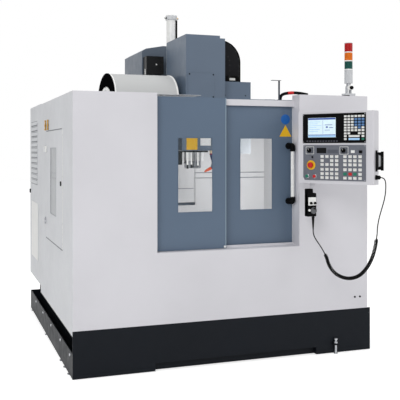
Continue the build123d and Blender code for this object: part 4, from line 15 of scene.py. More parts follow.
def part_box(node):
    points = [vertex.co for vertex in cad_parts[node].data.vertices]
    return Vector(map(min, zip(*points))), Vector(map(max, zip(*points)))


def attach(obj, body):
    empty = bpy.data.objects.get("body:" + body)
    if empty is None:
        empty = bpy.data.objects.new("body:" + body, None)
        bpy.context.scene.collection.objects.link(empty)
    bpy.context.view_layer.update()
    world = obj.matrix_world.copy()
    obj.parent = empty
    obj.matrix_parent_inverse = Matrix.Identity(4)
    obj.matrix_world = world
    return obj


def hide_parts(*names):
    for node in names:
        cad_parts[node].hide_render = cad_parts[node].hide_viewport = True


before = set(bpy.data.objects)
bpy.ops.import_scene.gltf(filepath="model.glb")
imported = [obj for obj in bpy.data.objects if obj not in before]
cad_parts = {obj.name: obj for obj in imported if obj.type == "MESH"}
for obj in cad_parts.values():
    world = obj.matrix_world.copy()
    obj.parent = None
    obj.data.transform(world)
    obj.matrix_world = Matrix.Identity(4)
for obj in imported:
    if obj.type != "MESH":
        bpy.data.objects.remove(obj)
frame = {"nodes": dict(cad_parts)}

LOG = logging.getLogger("machining_center")
MM = 0.001
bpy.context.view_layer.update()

Pair = tuple[float, float]
Triple = tuple[float, float, float]
Block = tuple[Triple, Triple]
Spot = tuple[Pair, Triple]
Piece = bpy.types.Object
Socket = bpy.types.NodeSocket

LEFT, RIGHT = Vector((-1, 0, 0)), Vector((1, 0, 0))
FRONT, BACK = Vector((0, -1, 0)), Vector((0, 1, 0))
DOWN, UP = Vector((0, 0, -1)), Vector((0, 0, 1))

LEFT_FACE = -1187.5  # X of the housing's left side
FRONT_FACE = -967.0  # Y of the housing's front
ROOF = 2005.0  # Z of the roof plate's top

# Sockets of a Mix node that mixes colours.
MIX_SHARE, MIX_FIRST, MIX_SECOND, MIX_RESULT = 0, 6, 7, 2


class Paint(Enum):
    """Colours of the machine as they are seen, 0 to 255."""

    HOUSING = (212, 211, 216)
    SIDE = (206, 208, 212)
    INSIDE = (216, 216, 217)
    # Painted shade: the dark grey of the shade in grooves, gaps, louvre slots and seams.
    GROOVE_SHADE = (120, 124, 130)
    SEAL = (176, 179, 183)
    DECK = (198, 200, 202)
    HOOD = (188, 189, 189)
    DOOR = (88, 105, 125)
    # Painted highlight: the light line along the left leaf's folded edge.
    LEAF_EDGE_HIGHLIGHT = (126, 144, 158)
    HEAD = (93, 107, 124)
    COLUMN = (88, 99, 113)
    SLATE = (48, 57, 68)
    BASE = (17, 21, 27)
    CASTING = (170, 175, 180)
    BLACK = (16, 17, 19)
    INK = (7, 7, 8)
    WHITE = (238, 238, 236)
    KEY_WHITE = (226, 227, 224)
    KEY_BLUE = (88, 128, 178)
    KEY_DIM = (66, 68, 78)
    PANEL_GREY = (106, 109, 118)
    PANEL_FIELD = (84, 87, 96)
    PANEL_LIGHT = (198, 200, 203)
    WHEEL = (92, 93, 96)
    SCREEN = (204, 224, 232)
    SCREEN_BAR = (52, 82, 160)
    SCREEN_PALE = (150, 190, 226)
    RED = (196, 20, 22)
    ORANGE = (226, 84, 28)
    RED_LENS = (172, 14, 18)
    AMBER = (218, 110, 14)
    GREEN = (18, 116, 92)
    GREEN_LENS = (6, 76, 68)
    YELLOW = (232, 180, 22)
    SIGN_BLUE = (14, 92, 170)
    HOSE_BLUE = (24, 44, 84)
    BEIGE = (206, 190, 158)
    BRASS = (190, 150, 82)
    STEEL = (176, 178, 182)
    CHAIN = (15, 15, 19)

    def linear(self) -> tuple[float, float, float, float]:
        """Return the colour in linear light with full alpha."""
        shares = [value / 255 for value in self.value]
        return (*[share / 12.92 if share <= 0.04045 else ((share + 0.055) / 1.055) ** 2.4
                  for share in shares], 1.0)


def shaded(colour: Sequence[float], factor: float) -> tuple[float, ...]:
    """Return a linear colour with alpha, made lighter or darker by a factor."""
    return (*[min(1.0, channel * factor) for channel in colour[:3]], colour[3])


class NodeSheet:
    """Shorthand for laying out a material's nodes."""

    def __init__(self, name: str) -> None:
        """Start an empty material.

        Args:
            name: Name of the material.
        """
        self.material = bpy.data.materials.new(name)
        self.material.use_nodes = True
        self.tree = self.material.node_tree
        self.shader = self.tree.nodes["Principled BSDF"]
        self.place = self.add("ShaderNodeTexCoord").outputs["Object"]

    def add(self, kind: str) -> bpy.types.Node:
        """Return a new node of the given kind."""
        return self.tree.nodes.new(kind)

    def link(self, start: Socket, end: Socket) -> None:
        """Join two sockets."""
        self.tree.links.new(start, end)

    def lead(self, value: Socket, name: str) -> None:
        """Join a value to the shader's socket of that name."""
        self.link(value, self.shader.inputs[name])

    def put(self, name: str, value: float | Sequence[float]) -> None:
        """Set the shader's socket of that name."""
        self.shader.inputs[name].default_value = value

    def stretched(self, scale: Triple) -> Socket:
        """Return object coordinates stretched by a factor for each axis."""
        mapping = self.add("ShaderNodeMapping")
        mapping.inputs["Scale"].default_value = scale
        self.link(self.place, mapping.inputs["Vector"])
        return mapping.outputs["Vector"]

    def noise(self, scale: float, detail: float = 3.0, where: Optional[Socket] = None) -> Socket:
        """Return a noise pattern.

        Args:
            scale: Cells per metre.
            detail: Octaves of the pattern.
            where: Coordinates to use, or object coordinates if left out.

        Returns:
            The value socket of the pattern.
        """
        node = self.add("ShaderNodeTexNoise")
        node.inputs["Scale"].default_value = scale
        node.inputs["Detail"].default_value = detail
        self.link(where or self.place, node.inputs["Vector"])
        return node.outputs["Fac"]

    def between(self, value: Socket, low: float, high: float) -> Socket:
        """Spread the middle of a noise pattern over a range.

        Args:
            value: Socket of the pattern.
            low: Result where the pattern is 0.3.
            high: Result where the pattern is 0.7.

        Returns:
            The mapped socket.
        """
        node = self.add("ShaderNodeMapRange")
        for name, level in (("From Min", 0.3), ("From Max", 0.7), ("To Min", low), ("To Max", high)):
            node.inputs[name].default_value = level
        self.link(value, node.inputs["Value"])
        return node.outputs["Result"]

    def mix(self, share: Socket, first: Sequence[float], second: Sequence[float],
            under: Optional[Socket] = None) -> Socket:
        """Return a blend of two colours.

        Args:
            share: Socket that gives the share of the second colour.
            first: Colour at a share of nought.
            second: Colour at a share of one.
            under: Socket whose colour takes the place of the first, if given.

        Returns:
            The colour socket of the blend.
        """
        node = self.add("ShaderNodeMix")
        node.data_type = "RGBA"
        node.inputs[MIX_FIRST].default_value = first
        node.inputs[MIX_SECOND].default_value = second
        if under:
            self.link(under, node.inputs[MIX_FIRST])
        self.link(share, node.inputs[MIX_SHARE])
        return node.outputs[MIX_RESULT]

    def tone(self, pattern: Socket, base: Sequence[float], dark: float, light: float) -> None:
        """Vary the shader's colour with a pattern.

        Args:
            pattern: Socket of the pattern.
            base: Linear colour with alpha.
            dark: Factor of the colour at the pattern's low end.
            light: Factor of the colour at its high end.
        """
        share = self.between(pattern, 0.0, 1.0)
        self.lead(self.mix(share, shaded(base, dark), shaded(base, light)), "Base Color")

    def roughen(self, pattern: Socket, rough: float, below: float, above: float) -> None:
        """Vary the shader's roughness with a pattern.

        Args:
            pattern: Socket of the pattern.
            rough: Roughness that it varies about.
            below: How far it falls below that.
            above: How far it rises above it.
        """
        self.lead(self.between(pattern, rough - below, rough + above), "Roughness")

    def bump(self, height: Socket, strength: float, depth: float, edge: float) -> None:
        """Give the shader a bump over softly rounded edges.

        Args:
            height: Socket with the height pattern.
            strength: Strength of the bump.
            depth: Depth of the pattern in metres.
            edge: Radius of the rounded edges in metres.
        """
        rounded = self.add("ShaderNodeBevel")
        rounded.samples = 4
        rounded.inputs["Radius"].default_value = edge
        node = self.add("ShaderNodeBump")
        node.inputs["Strength"].default_value = strength
        node.inputs["Distance"].default_value = depth
        self.link(rounded.outputs["Normal"], node.inputs["Normal"])
        self.link(height, node.inputs["Height"])
        self.lead(node.outputs["Normal"], "Normal")

    def bands(self, axis: str, start: Paint, steps: Sequence[tuple[float, Paint]]) -> Socket:
        """Return a colour that changes at levels of one axis.

        Args:
            axis: Name of the axis, X, Y or Z.
            start: Paint below the first level.
            steps: Level in metres and the paint above it, lowest first.

        Returns:
            The colour socket of the last step.
        """
        parts = self.add("ShaderNodeSeparateXYZ")
        self.link(self.place, parts.inputs["Vector"])
        colour = None
        for level, paint in steps:
            above = self.add("ShaderNodeMath")
            above.operation = "GREATER_THAN"
            above.inputs[1].default_value = level
            self.link(parts.outputs[axis], above.inputs[0])
            colour = self.mix(above.outputs["Value"], start.linear(), paint.linear(), colour)
        return colour


class Finish(Protocol):
    """What every finish has: a name, and a way to make its material."""

    name: str

    def make(self) -> bpy.types.Material:
        """Return the finished material."""


@dataclass(frozen=True)
class PowderCoat:
    """Sprayed and baked paint on sheet or castings."""

    name: str
    paint: Paint
    rough: float = 0.42
    peel: float = 0.12
    peel_scale: float = 520.0
    peel_depth: float = 0.0004
    cloud: float = 0.05
    edge: float = 0.0016
    specular: float = 0.4

    def make(self) -> bpy.types.Material:
        """Return the finished material."""
        sheet = NodeSheet(self.name)
        sheet.tone(sheet.noise(1.7, 4.0), self.paint.linear(), 1 - self.cloud, 1 + self.cloud / 2)
        sheet.roughen(sheet.noise(14.0), self.rough, 0.05, 0.06)
        sheet.put("Specular IOR Level", self.specular)
        sheet.bump(sheet.noise(self.peel_scale, 2.0), self.peel, self.peel_depth, self.edge)
        return sheet.material


@dataclass(frozen=True)
class BandPaint:
    """Paint that changes colour at levels of one axis."""

    name: str
    axis: str
    start: Paint
    steps: tuple[tuple[float, Paint], ...]
    rough: float = 0.45
    specular: float = 0.3
    ior: float = 1.5

    def make(self) -> bpy.types.Material:
        """Return the finished material."""
        sheet = NodeSheet(self.name)
        sheet.put("IOR", self.ior)
        sheet.lead(sheet.bands(self.axis, self.start, self.steps), "Base Color")
        sheet.roughen(sheet.noise(16.0), self.rough, 0.05, 0.06)
        sheet.put("Specular IOR Level", self.specular)
        sheet.bump(sheet.noise(520.0, 2.0), 0.1, 0.0004, 0.0012)
        return sheet.material


@dataclass(frozen=True)
class Metal:
    """Bare metal with fine brushing along one direction."""

    name: str
    paint: Paint = Paint.STEEL
    rough: float = 0.3
    along: Triple = (30.0, 900.0, 900.0)

    def make(self) -> bpy.types.Material:
        """Return the finished material."""
        sheet = NodeSheet(self.name)
        grain = sheet.noise(1.0, 4.0, sheet.stretched(self.along))
        sheet.tone(grain, self.paint.linear(), 0.86, 1.08)
        sheet.put("Metallic", 1.0)
        sheet.roughen(grain, self.rough, 0.08, 0.12)
        sheet.bump(grain, 0.08, 0.0003, 0.0008)
        return sheet.material


@dataclass(frozen=True)
class Moulded:
    """Moulded plastic or rubber with a fine spark-eroded grain."""

    name: str
    paint: Paint
    rough: float = 0.5
    grain: float = 0.15
    glow: float = 0.0
    specular: float = 0.4

    def make(self) -> bpy.types.Material:
        """Return the finished material."""
        sheet = NodeSheet(self.name)
        base = self.paint.linear()
        sheet.tone(sheet.noise(30.0), base, 0.94, 1.04)
        sheet.roughen(sheet.noise(60.0), self.rough, 0.05, 0.05)
        sheet.put("Specular IOR Level", self.specular)
        if self.glow:
            sheet.put("Emission Color", base)
            sheet.put("Emission Strength", self.glow)
        sheet.bump(sheet.noise(1400.0, 2.0), self.grain, 0.0002, 0.0006)
        return sheet.material


@dataclass(frozen=True)
class Pane:
    """Clear or frosted window pane with faint wipe marks."""

    name: str
    tint: Triple = (0.30, 0.34, 0.36)
    alpha: float = 0.06
    rough: float = 0.05

    def make(self) -> bpy.types.Material:
        """Return the finished material."""
        sheet = NodeSheet(self.name)
        wiped = sheet.noise(5.0, 5.0, sheet.stretched((1.0, 1.0, 3.0)))
        sheet.tone(wiped, (*self.tint, 1.0), 0.92, 1.06)
        sheet.roughen(wiped, self.rough, 0.02, 0.04)
        sheet.put("Alpha", self.alpha)
        return sheet.material


class Finishes:
    """Every finish of the machine, each made once."""

    housing = PowderCoat("housing_coat", Paint.HOUSING)
    side = PowderCoat("side_coat", Paint.SIDE)
    inside = PowderCoat("inside_coat", Paint.INSIDE, rough=0.4)
    # Painted shade for grooves, gaps, louvre slots and seams.
    groove_shading = PowderCoat("groove_shade", Paint.GROOVE_SHADE, rough=0.6)
    film = PowderCoat("white_film", Paint.WHITE, rough=0.45)
    deck = PowderCoat("deck_coat", Paint.DECK, rough=0.36)
    door = PowderCoat("door_coat", Paint.DOOR, rough=0.4)
    # Painted highlight along the left leaf's edge.
    leaf_edge_highlight = PowderCoat("leaf_edge_highlight_coat", Paint.LEAF_EDGE_HIGHLIGHT, rough=0.4)
    head = PowderCoat("head_coat", Paint.HEAD, rough=0.4)
    column = PowderCoat("column_coat", Paint.COLUMN, peel=0.3, peel_scale=160.0)
    slate = PowderCoat("slate_coat", Paint.SLATE, rough=0.45)
    base = PowderCoat("base_coat", Paint.BASE, rough=0.5, cloud=0.1, specular=0.12)
    casting = PowderCoat("casting_coat", Paint.CASTING, rough=0.5, peel=0.4, peel_scale=140.0)
    trough = BandPaint("trough_coat", "Z", Paint.CASTING, ((1.80, Paint.HEAD),), rough=0.4)
    hood = BandPaint("hood_coat", "X", Paint.INK,
                     ((-0.7515, Paint.WHITE), (-0.741, Paint.HOOD), (-0.2385, Paint.WHITE)),
                     specular=0.08, ior=1.01)
    black = PowderCoat("black_enamel", Paint.BLACK, rough=0.42, specular=0.25)
    steel = Metal("ground_steel")
    turned = Metal("turned_steel", rough=0.24, along=(300.0, 300.0, 900.0))
    zinc = Metal("zinc_plate", rough=0.42, along=(60.0, 60.0, 60.0))
    brass = Metal("turned_brass", Paint.BRASS, rough=0.28, along=(200.0, 200.0, 200.0))
    white = Moulded("white_enamel", Paint.WHITE, rough=0.3, grain=0.03)
    plastic = Moulded("black_plastic", Paint.BLACK, rough=0.55, specular=0.12)
    ink = Moulded("ink_black", Paint.INK, rough=0.6, specular=0.06)
    panel = Moulded("panel_film", Paint.PANEL_GREY, rough=0.45, grain=0.06, specular=0.25)
    panel_field = Moulded("panel_field_film", Paint.PANEL_FIELD, rough=0.45, grain=0.06, specular=0.25)
    key_white = Moulded("white_key", Paint.KEY_WHITE, rough=0.4, grain=0.05)
    key_blue = Moulded("blue_key", Paint.KEY_BLUE, rough=0.4, grain=0.05)
    key_dim = Moulded("soft_key", Paint.KEY_DIM, rough=0.5, grain=0.05)
    key_green = Moulded("green_key", Paint.GREEN, rough=0.35, grain=0.04)
    key_red = Moulded("red_key", Paint.RED, rough=0.35, grain=0.04)
    screen = Moulded("screen_glass", Paint.SCREEN, rough=0.12, grain=0.0, glow=0.35)
    screen_bar = Moulded("screen_bar", Paint.SCREEN_BAR, rough=0.12, grain=0.0, glow=0.2)
    screen_pale = Moulded("screen_pale_bar", Paint.SCREEN_PALE, rough=0.12, grain=0.0, glow=0.3)
    red = Moulded("red_lens", Paint.RED_LENS, rough=0.25, grain=0.02, specular=0.2)
    amber = Moulded("amber_lens", Paint.AMBER, rough=0.25, grain=0.02, specular=0.2)
    green = Moulded("green_lens", Paint.GREEN_LENS, rough=0.25, grain=0.02, specular=0.2)
    yellow = Moulded("yellow_plate", Paint.YELLOW, rough=0.35, grain=0.04)
    sign_blue = Moulded("blue_sign", Paint.SIGN_BLUE, rough=0.35, grain=0.04)
    orange = Moulded("orange_nozzle", Paint.ORANGE, rough=0.35, grain=0.05)
    hose_blue = Moulded("blue_hose", Paint.HOSE_BLUE, rough=0.4, grain=0.05)
    beige = Moulded("beige_socket", Paint.BEIGE, rough=0.45, grain=0.05)
    light_grey = Moulded("light_grey_plastic", Paint.PANEL_LIGHT, rough=0.42, grain=0.08)
    wheel = Moulded("wheel_plastic", Paint.WHEEL, rough=0.4, grain=0.08)
    chain = Moulded("chain_plastic", Paint.CHAIN, rough=0.5, grain=0.1, specular=0.12)
    cord = Moulded("cord_sheath", Paint.INK, rough=0.5, grain=0.08, specular=0.12)
    seal = Moulded("window_seal", Paint.SEAL, rough=0.6, grain=0.1)
    pane = Pane("clear_pane")
    frosted = Pane("frosted_pane", tint=(0.48, 0.50, 0.52), alpha=0.86, rough=0.35)
    _made: dict[str, bpy.types.Material] = {}

    @classmethod
    def get(cls, finish: Finish) -> bpy.types.Material:
        """Return the material of a finish, made at its first use."""
        if finish.name not in cls._made:
            cls._made[finish.name] = finish.make()
        return cls._made[finish.name]


def metres(places: Iterable[Triple]) -> list[Vector]:
    """Return places in millimetres as points in metres."""
    return [Vector(place) * MM for place in places]


def circle_turns(count: int) -> list[float]:
    """Return evenly spaced angles round a circle, in radians."""
    return [2 * math.pi * step / count for step in range(count)]


def arc(centre: Pair, radius: float, degrees: Iterable[float]) -> list[Pair]:
    """Return the points of a circle at some angles, in degrees."""
    turns = [math.radians(angle) for angle in degrees]
    return [(centre[0] + radius * math.cos(turn), centre[1] + radius * math.sin(turn)) for turn in turns]


def rectangle(across: Pair, up: Pair, wider: float = 0.0) -> list[Pair]:
    """Return the corners of a rectangle, made wider all round."""
    (left, right), (foot, top) = across, up
    left, right, foot, top = left - wider, right + wider, foot - wider, top + wider
    return [(left, foot), (right, foot), (right, top), (left, top)]


def length_of(line: Sequence[Vector]) -> float:
    """Return the length of a line of points."""
    return sum((after - before).length for before, after in zip(line, line[1:]))


def node_box(name: str) -> tuple[Vector, Vector]:
    """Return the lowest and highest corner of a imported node, in millimetres."""
    low, high = (Vector(corner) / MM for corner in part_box(name))
    return low, high


def carried_frames(line: Sequence[Vector]) -> list[tuple[Vector, Vector]]:
    """Carry a pair of cross directions along a line without twist.

    Args:
        line: Points of the line.

    Returns:
        Side and up direction at each point.
    """
    tangents = []
    for index in range(len(line)):
        before, after = line[max(0, index - 1)], line[min(len(line) - 1, index + 1)]
        tangents.append((after - before).normalized())
    side = tangents[0].orthogonal().normalized()
    frames = []
    for index, tangent in enumerate(tangents):
        if index:
            side = tangents[index - 1].rotation_difference(tangent) @ side
        side = (side - tangent * side.dot(tangent)).normalized()
        frames.append((side, tangent.cross(side)))
    return frames


def mesh_of(curve: bpy.types.Curve) -> bpy.types.Mesh:
    """Return the mesh that a curve makes, and remove the curve."""
    carrier = bpy.data.objects.new(curve.name, curve)
    mesh = bpy.data.meshes.new_from_object(carrier)
    bpy.data.objects.remove(carrier)
    bpy.data.curves.remove(curve)
    return mesh


def spline_points(points: Sequence[Vector]) -> list[Vector]:
    """Return the points that a NURBS spline gives for its control points.

    Args:
        points: Control points in metres.

    Returns:
        Points of the spline.
    """
    curve = bpy.data.curves.new("route", "CURVE")
    curve.dimensions = "3D"
    spline = curve.splines.new("NURBS")
    spline.points.add(len(points) - 1)
    for place, point in zip(spline.points, points):
        place.co = (*point, 1)
    spline.order_u = 3
    spline.use_endpoint_u = True
    spline.resolution_u = 24
    mesh = mesh_of(curve)
    line = [vertex.co.copy() for vertex in mesh.vertices]
    bpy.data.meshes.remove(mesh)
    return line


def smooth_line(points: Sequence[Vector], count: int) -> list[Vector]:
    """Read evenly spaced points off a smooth line through control points.

    Args:
        points: Control points in metres.
        count: Number of points to return.

    Returns:
        Points along the line.
    """
    line = spline_points(points)
    lengths = [0.0]
    for before, after in zip(line, line[1:]):
        lengths.append(lengths[-1] + (after - before).length)
    result, index = [], 0
    for step in range(count):
        target = lengths[-1] * step / (count - 1)
        while index < len(line) - 2 and lengths[index + 1] < target:
            index += 1
        share = (target - lengths[index]) / max(lengths[index + 1] - lengths[index], 1e-9)
        result.append(line[index].lerp(line[index + 1], min(1.0, share)))
    return result


def skin(work: bmesh.types.BMesh, rings: Sequence[Sequence[bmesh.types.BMVert]]) -> None:
    """Cover a row of rings with faces and close both ends.

    Args:
        work: Mesh that holds the rings.
        rings: Rings of as many points each, from foot to top.
    """
    for low, high in zip(rings, rings[1:]):
        for index, corner in enumerate(low):
            after = (index + 1) % len(low)
            work.faces.new((corner, low[after], high[after], high[index]))
    work.faces.new(list(reversed(rings[0])))
    work.faces.new(rings[-1])


@dataclass
class Bench:
    """Makes meshes in one coordinate frame and fastens them to one body.

    Edges that turn by more than the angle sharp stay sharp. A block's rounding takes at most
    thin_share of its thinnest side.
    """

    body: str
    frame: Matrix = field(default_factory=lambda: Matrix.Identity(4))
    sharp: float = math.radians(38)
    thin_share: float = 0.3

    def settle(self, name: str, work: bmesh.types.BMesh, finish: Finish, smooth: bool = False) -> Piece:
        """Turn a finished mesh into a piece that rides on the body.

        Args:
            name: Name of the piece.
            work: Mesh in bench coordinates, in metres.
            finish: Finish of the piece.
            smooth: Whether faces shade smoothly, but for sharp edges.

        Returns:
            The piece.
        """
        bmesh.ops.recalc_face_normals(work, faces=work.faces)
        mesh = bpy.data.meshes.new(name)
        work.transform(self.frame)
        work.to_mesh(mesh)
        work.free()
        piece = bpy.data.objects.new(name, mesh)
        bpy.context.scene.collection.objects.link(piece)
        mesh.materials.append(Finishes.get(finish))
        for face in mesh.polygons:
            face.use_smooth = smooth
        if smooth:
            mesh.set_sharp_from_angle(angle=self.sharp)
        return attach(piece, self.body)

    def slabs(self, name: str, boxes: Iterable[Block], finish: Finish, round_off: float = 0.8) -> Piece:
        """Make softly rounded blocks, all in one piece.

        Args:
            name: Name of the piece.
            boxes: Lowest and highest corner of each block, in millimetres.
            finish: Finish of the piece.
            round_off: Radius of the edges in millimetres, less on a thin block.

        Returns:
            The piece.
        """
        work = bmesh.new()
        for low, high in boxes:
            size = [end - start for start, end in zip(low, high)]
            middle = Vector([(start + end) / 2 for start, end in zip(low, high)]) * MM
            scale = Matrix.Diagonal((*[side * MM for side in size], 1))
            made = bmesh.ops.create_cube(work, size=1, matrix=Matrix.Translation(middle) @ scale)
            edges = {edge for vert in made["verts"] for edge in vert.link_edges}
            radius = min(round_off, min(size) * self.thin_share) * MM
            bmesh.ops.bevel(work, geom=list(edges), offset=radius, segments=2, profile=0.6, affect="EDGES")
        return self.settle(name, work, finish)

    def spun(self, name: str, profile: Sequence[Pair], feet: Iterable[Triple], axis: Vector,
             finish: Finish, sides: int = 40) -> Piece:
        """Turn an outline about an axis, at one or more places.

        Args:
            name: Name of the piece.
            profile: Radius and height pairs from foot to top, in millimetres.
            feet: Foot point of each copy in millimetres.
            axis: Direction from foot to top.
            finish: Finish of the piece.
            sides: Sides of the round.

        Returns:
            The piece.
        """
        work = bmesh.new()
        turned = axis.to_track_quat("Z", "Y").to_matrix().to_4x4()
        for foot in metres(feet):
            place = Matrix.Translation(foot) @ turned
            rings = []
            for radius, height in profile:
                round_points = metres((radius * math.cos(turn), radius * math.sin(turn), height)
                                      for turn in circle_turns(sides))
                rings.append([work.verts.new(place @ point) for point in round_points])
            skin(work, rings)
        return self.settle(name, work, finish, smooth=True)

    def screws(self, name: str, size: Pair, feet: Iterable[Triple], axis: Vector, finish: Finish,
               sides: int = 14) -> Piece:
        """Make button-head screws, all in one piece.

        Args:
            name: Name of the piece.
            size: Radius and height of a head in millimetres.
            feet: Seat of each head in millimetres.
            axis: Direction that the heads face.
            finish: Finish of the piece.
            sides: Sides of a head.

        Returns:
            The piece.
        """
        radius, height = size
        half = height * 0.5
        profile = [(radius, 0), (radius, half), (radius * 0.8, height), (radius * 0.45, height),
                   (radius * 0.4, half)]
        return self.spun(name, profile, feet, axis, finish, sides)

    def plates(self, name: str, outline: Sequence[Triple], push: Triple, finish: Finish) -> Piece:
        """Push a flat outline into a thin plate.

        Args:
            name: Name of the piece.
            outline: Corners of the outline in millimetres.
            push: Thickness of the plate as a vector in millimetres.
            finish: Finish of the piece.

        Returns:
            The piece.
        """
        work = bmesh.new()
        face = work.faces.new([work.verts.new(corner) for corner in metres(outline)])
        made = bmesh.ops.extrude_face_region(work, geom=[face])
        moved = [item for item in made["geom"] if isinstance(item, bmesh.types.BMVert)]
        bmesh.ops.translate(work, verts=moved, vec=Vector(push) * MM)
        return self.settle(name, work, finish)

    def cut_sheet(self, name: str, outlines: Sequence[Sequence[Pair]], depth: Pair, finish: Finish,
                  soften: float = 0.6) -> Piece:
        """Cut a flat sheet that stands upright, with softened edges and holes.

        Args:
            name: Name of the piece.
            outlines: Corners of the sheet, then of each hole, along X and Z in millimetres.
            depth: Front and back of the sheet along Y in millimetres.
            finish: Finish of the piece.
            soften: Radius of the edges in millimetres.

        Returns:
            The piece.
        """
        curve = bpy.data.curves.new(name, "CURVE")
        curve.dimensions = "2D"
        curve.fill_mode = "BOTH"
        for corners in outlines:
            spline = curve.splines.new("POLY")
            spline.points.add(len(corners) - 1)
            for place, (across, up) in zip(spline.points, corners):
                place.co = (across * MM, up * MM, 0, 1)
            spline.use_cyclic_u = True
        front, back = depth
        curve.extrude = ((back - front) / 2 - soften) * MM
        curve.bevel_depth = soften * MM
        curve.bevel_resolution = 1
        curve.offset = -soften * MM
        mesh = mesh_of(curve)
        work = bmesh.new()
        work.from_mesh(mesh)
        bpy.data.meshes.remove(mesh)
        bmesh.ops.remove_doubles(work, verts=work.verts, dist=1e-6)
        upright = Matrix.Rotation(math.radians(90), 4, "X")
        work.transform(Matrix.Translation((0, (front + back) / 2 * MM, 0)) @ upright)
        return self.settle(name, work, finish)

    def hose(self, name: str, line: Sequence[Vector], radius: Callable[[float], float], finish: Finish,
             sides: int) -> Piece:
        """Sweep a round section along a line of points.

        Args:
            name: Name of the piece.
            line: Points of the centreline in metres.
            radius: Radius in millimetres at each share of the way.
            finish: Finish of the piece.
            sides: Sides of the section.

        Returns:
            The piece.
        """
        work = bmesh.new()
        rings = []
        for index, (point, (side, up)) in enumerate(zip(line, carried_frames(line))):
            reach = radius(index / (len(line) - 1)) * MM
            rings.append([work.verts.new(point + reach * (math.cos(turn) * side + math.sin(turn) * up))
                          for turn in circle_turns(sides)])
        skin(work, rings)
        return self.settle(name, work, finish, smooth=True)


class SubAssembly(ABC):
    """One sub-assembly of the machine."""

    body = "machine"

    @property
    def bench(self) -> Bench:
        """Bench that fastens pieces to this sub-assembly's body."""
        return Bench(self.body)

    @abstractmethod
    def build(self) -> list[Piece]:
        """Make the pieces and return them."""

    @staticmethod
    def finish_nodes(finish: Finish, *names: str) -> None:
        """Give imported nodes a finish.

        Args:
            finish: Finish to use.
            names: Names of the nodes.
        """
        material = Finishes.get(finish)
        for name in names:
            node = frame["nodes"][name]
            if not node.data.materials:
                node.data.materials.append(material)
            for slot in node.material_slots:
                slot.material = material


@dataclass
class Housing(SubAssembly):
    """Sheet housing: front, sides, door frame, guards and roof."""

    hump_y: float = -84.0
    hump_steps: int = 28
    hump_fall: float = 1.4
    hump: tuple[Pair, Pair] = ((200.0, 106.0), (-769.0, 6.5))
    crest: tuple[Pair, Pair] = ((150.0, 78.0), (-770.5, 2.0))
    fitting_z: float = 1760.0
    plug_z: float = 428.0
    lamp_tube: Block = ((-842, -640, 1650), (-806, -610, 1960))
    lamp_holder: Block = ((-854, -650, 1700), (-842, -600, 1730))
    seams: tuple[tuple[Pair, float, float], ...] = (((162, 856), 329, 1337), ((162, 856), 329, 1385),
                                                    ((-856, -161), 301, 1290))

    def build(self) -> list[Piece]:
        """Finish the sheets and make fasteners, fittings, lamp and seams."""
        self.finish_nodes(Finishes.housing, "front_panel", "door_frame")
        self.finish_nodes(Finishes.side, "left_side_panel", "right_side_panel")
        self.finish_nodes(Finishes.inside, "work_area_guard")
        self.finish_nodes(Finishes.deck, "roof_plate")
        self.finish_nodes(Finishes.hood, "magazine_cover")
        self.finish_nodes(Finishes.slate, "roof_bracket")
        return [self.air_fittings(), self.front_plugs(), self.roof_screws(), self.work_lamp(),
                self.guard_seams(), self.arched_plate("hood_hump", *self.hump, Finishes.white),
                self.arched_plate("hood_crest", *self.crest, Finishes.housing)]

    def air_fittings(self) -> Piece:
        """Make the two upright brass air fittings on the left side."""
        profile = [(6, 0), (8.5, 2), (8.5, 14), (6, 16), (6, 30), (8.5, 32), (8.5, 50), (5.5, 52),
                   (5.5, 74), (7, 76), (7, 86), (4, 88)]
        feet = [(LEFT_FACE - 7, y, self.fitting_z) for y in (380, 231)]
        return self.bench.spun("air_fittings", profile, feet, UP, Finishes.brass, 20)

    def front_plugs(self) -> Piece:
        """Make the two small plugs low on the front."""
        feet = [(x, FRONT_FACE, self.plug_z) for x in (1049, 1095)]
        return self.bench.screws("front_plugs", (8, 3), feet, FRONT, Finishes.ink, 16)

    def roof_screws(self) -> Piece:
        """Make the screws round the roof plate and the hood."""
        feet = [(x, y, ROOF) for x in (-1130, -960, -800) for y in (-800, -420, 300, 680)]
        return self.bench.screws("roof_screws", (7, 4), feet, UP, Finishes.zinc)

    def work_lamp(self) -> Piece:
        """Make the lamp tube inside the work area and its holder."""
        return self.bench.slabs("work_lamp", [self.lamp_tube, self.lamp_holder], Finishes.plastic, 3)

    def guard_seams(self) -> Piece:
        """Make the shaded seams under the folded ribs of the back sheets."""
        boxes = [((left, y, z - 7), (right, y + 2, z)) for (left, right), y, z in self.seams]
        return self.bench.slabs("guard_seams", boxes, Finishes.groove_shading, 0.5)

    def arched_plate(self, name: str, size: Pair, depth: Pair, finish: Finish) -> Piece:
        """Make a plate with a rounded top that stands on the roof across the hood's black end.

        Args:
            name: Name of the piece.
            size: Half width and height in millimetres.
            depth: Left face and thickness in millimetres.
            finish: Finish of the piece.

        Returns:
            The piece.
        """
        (half, rise), (face, thickness) = size, depth
        turns = [math.pi * step / self.hump_steps for step in range(self.hump_steps + 1)]
        outline = [(face, self.hump_y + half * math.cos(turn), ROOF + rise * math.sin(turn) ** self.hump_fall)
                   for turn in turns]
        return self.bench.plates(name, outline, (thickness, 0, 0), finish)


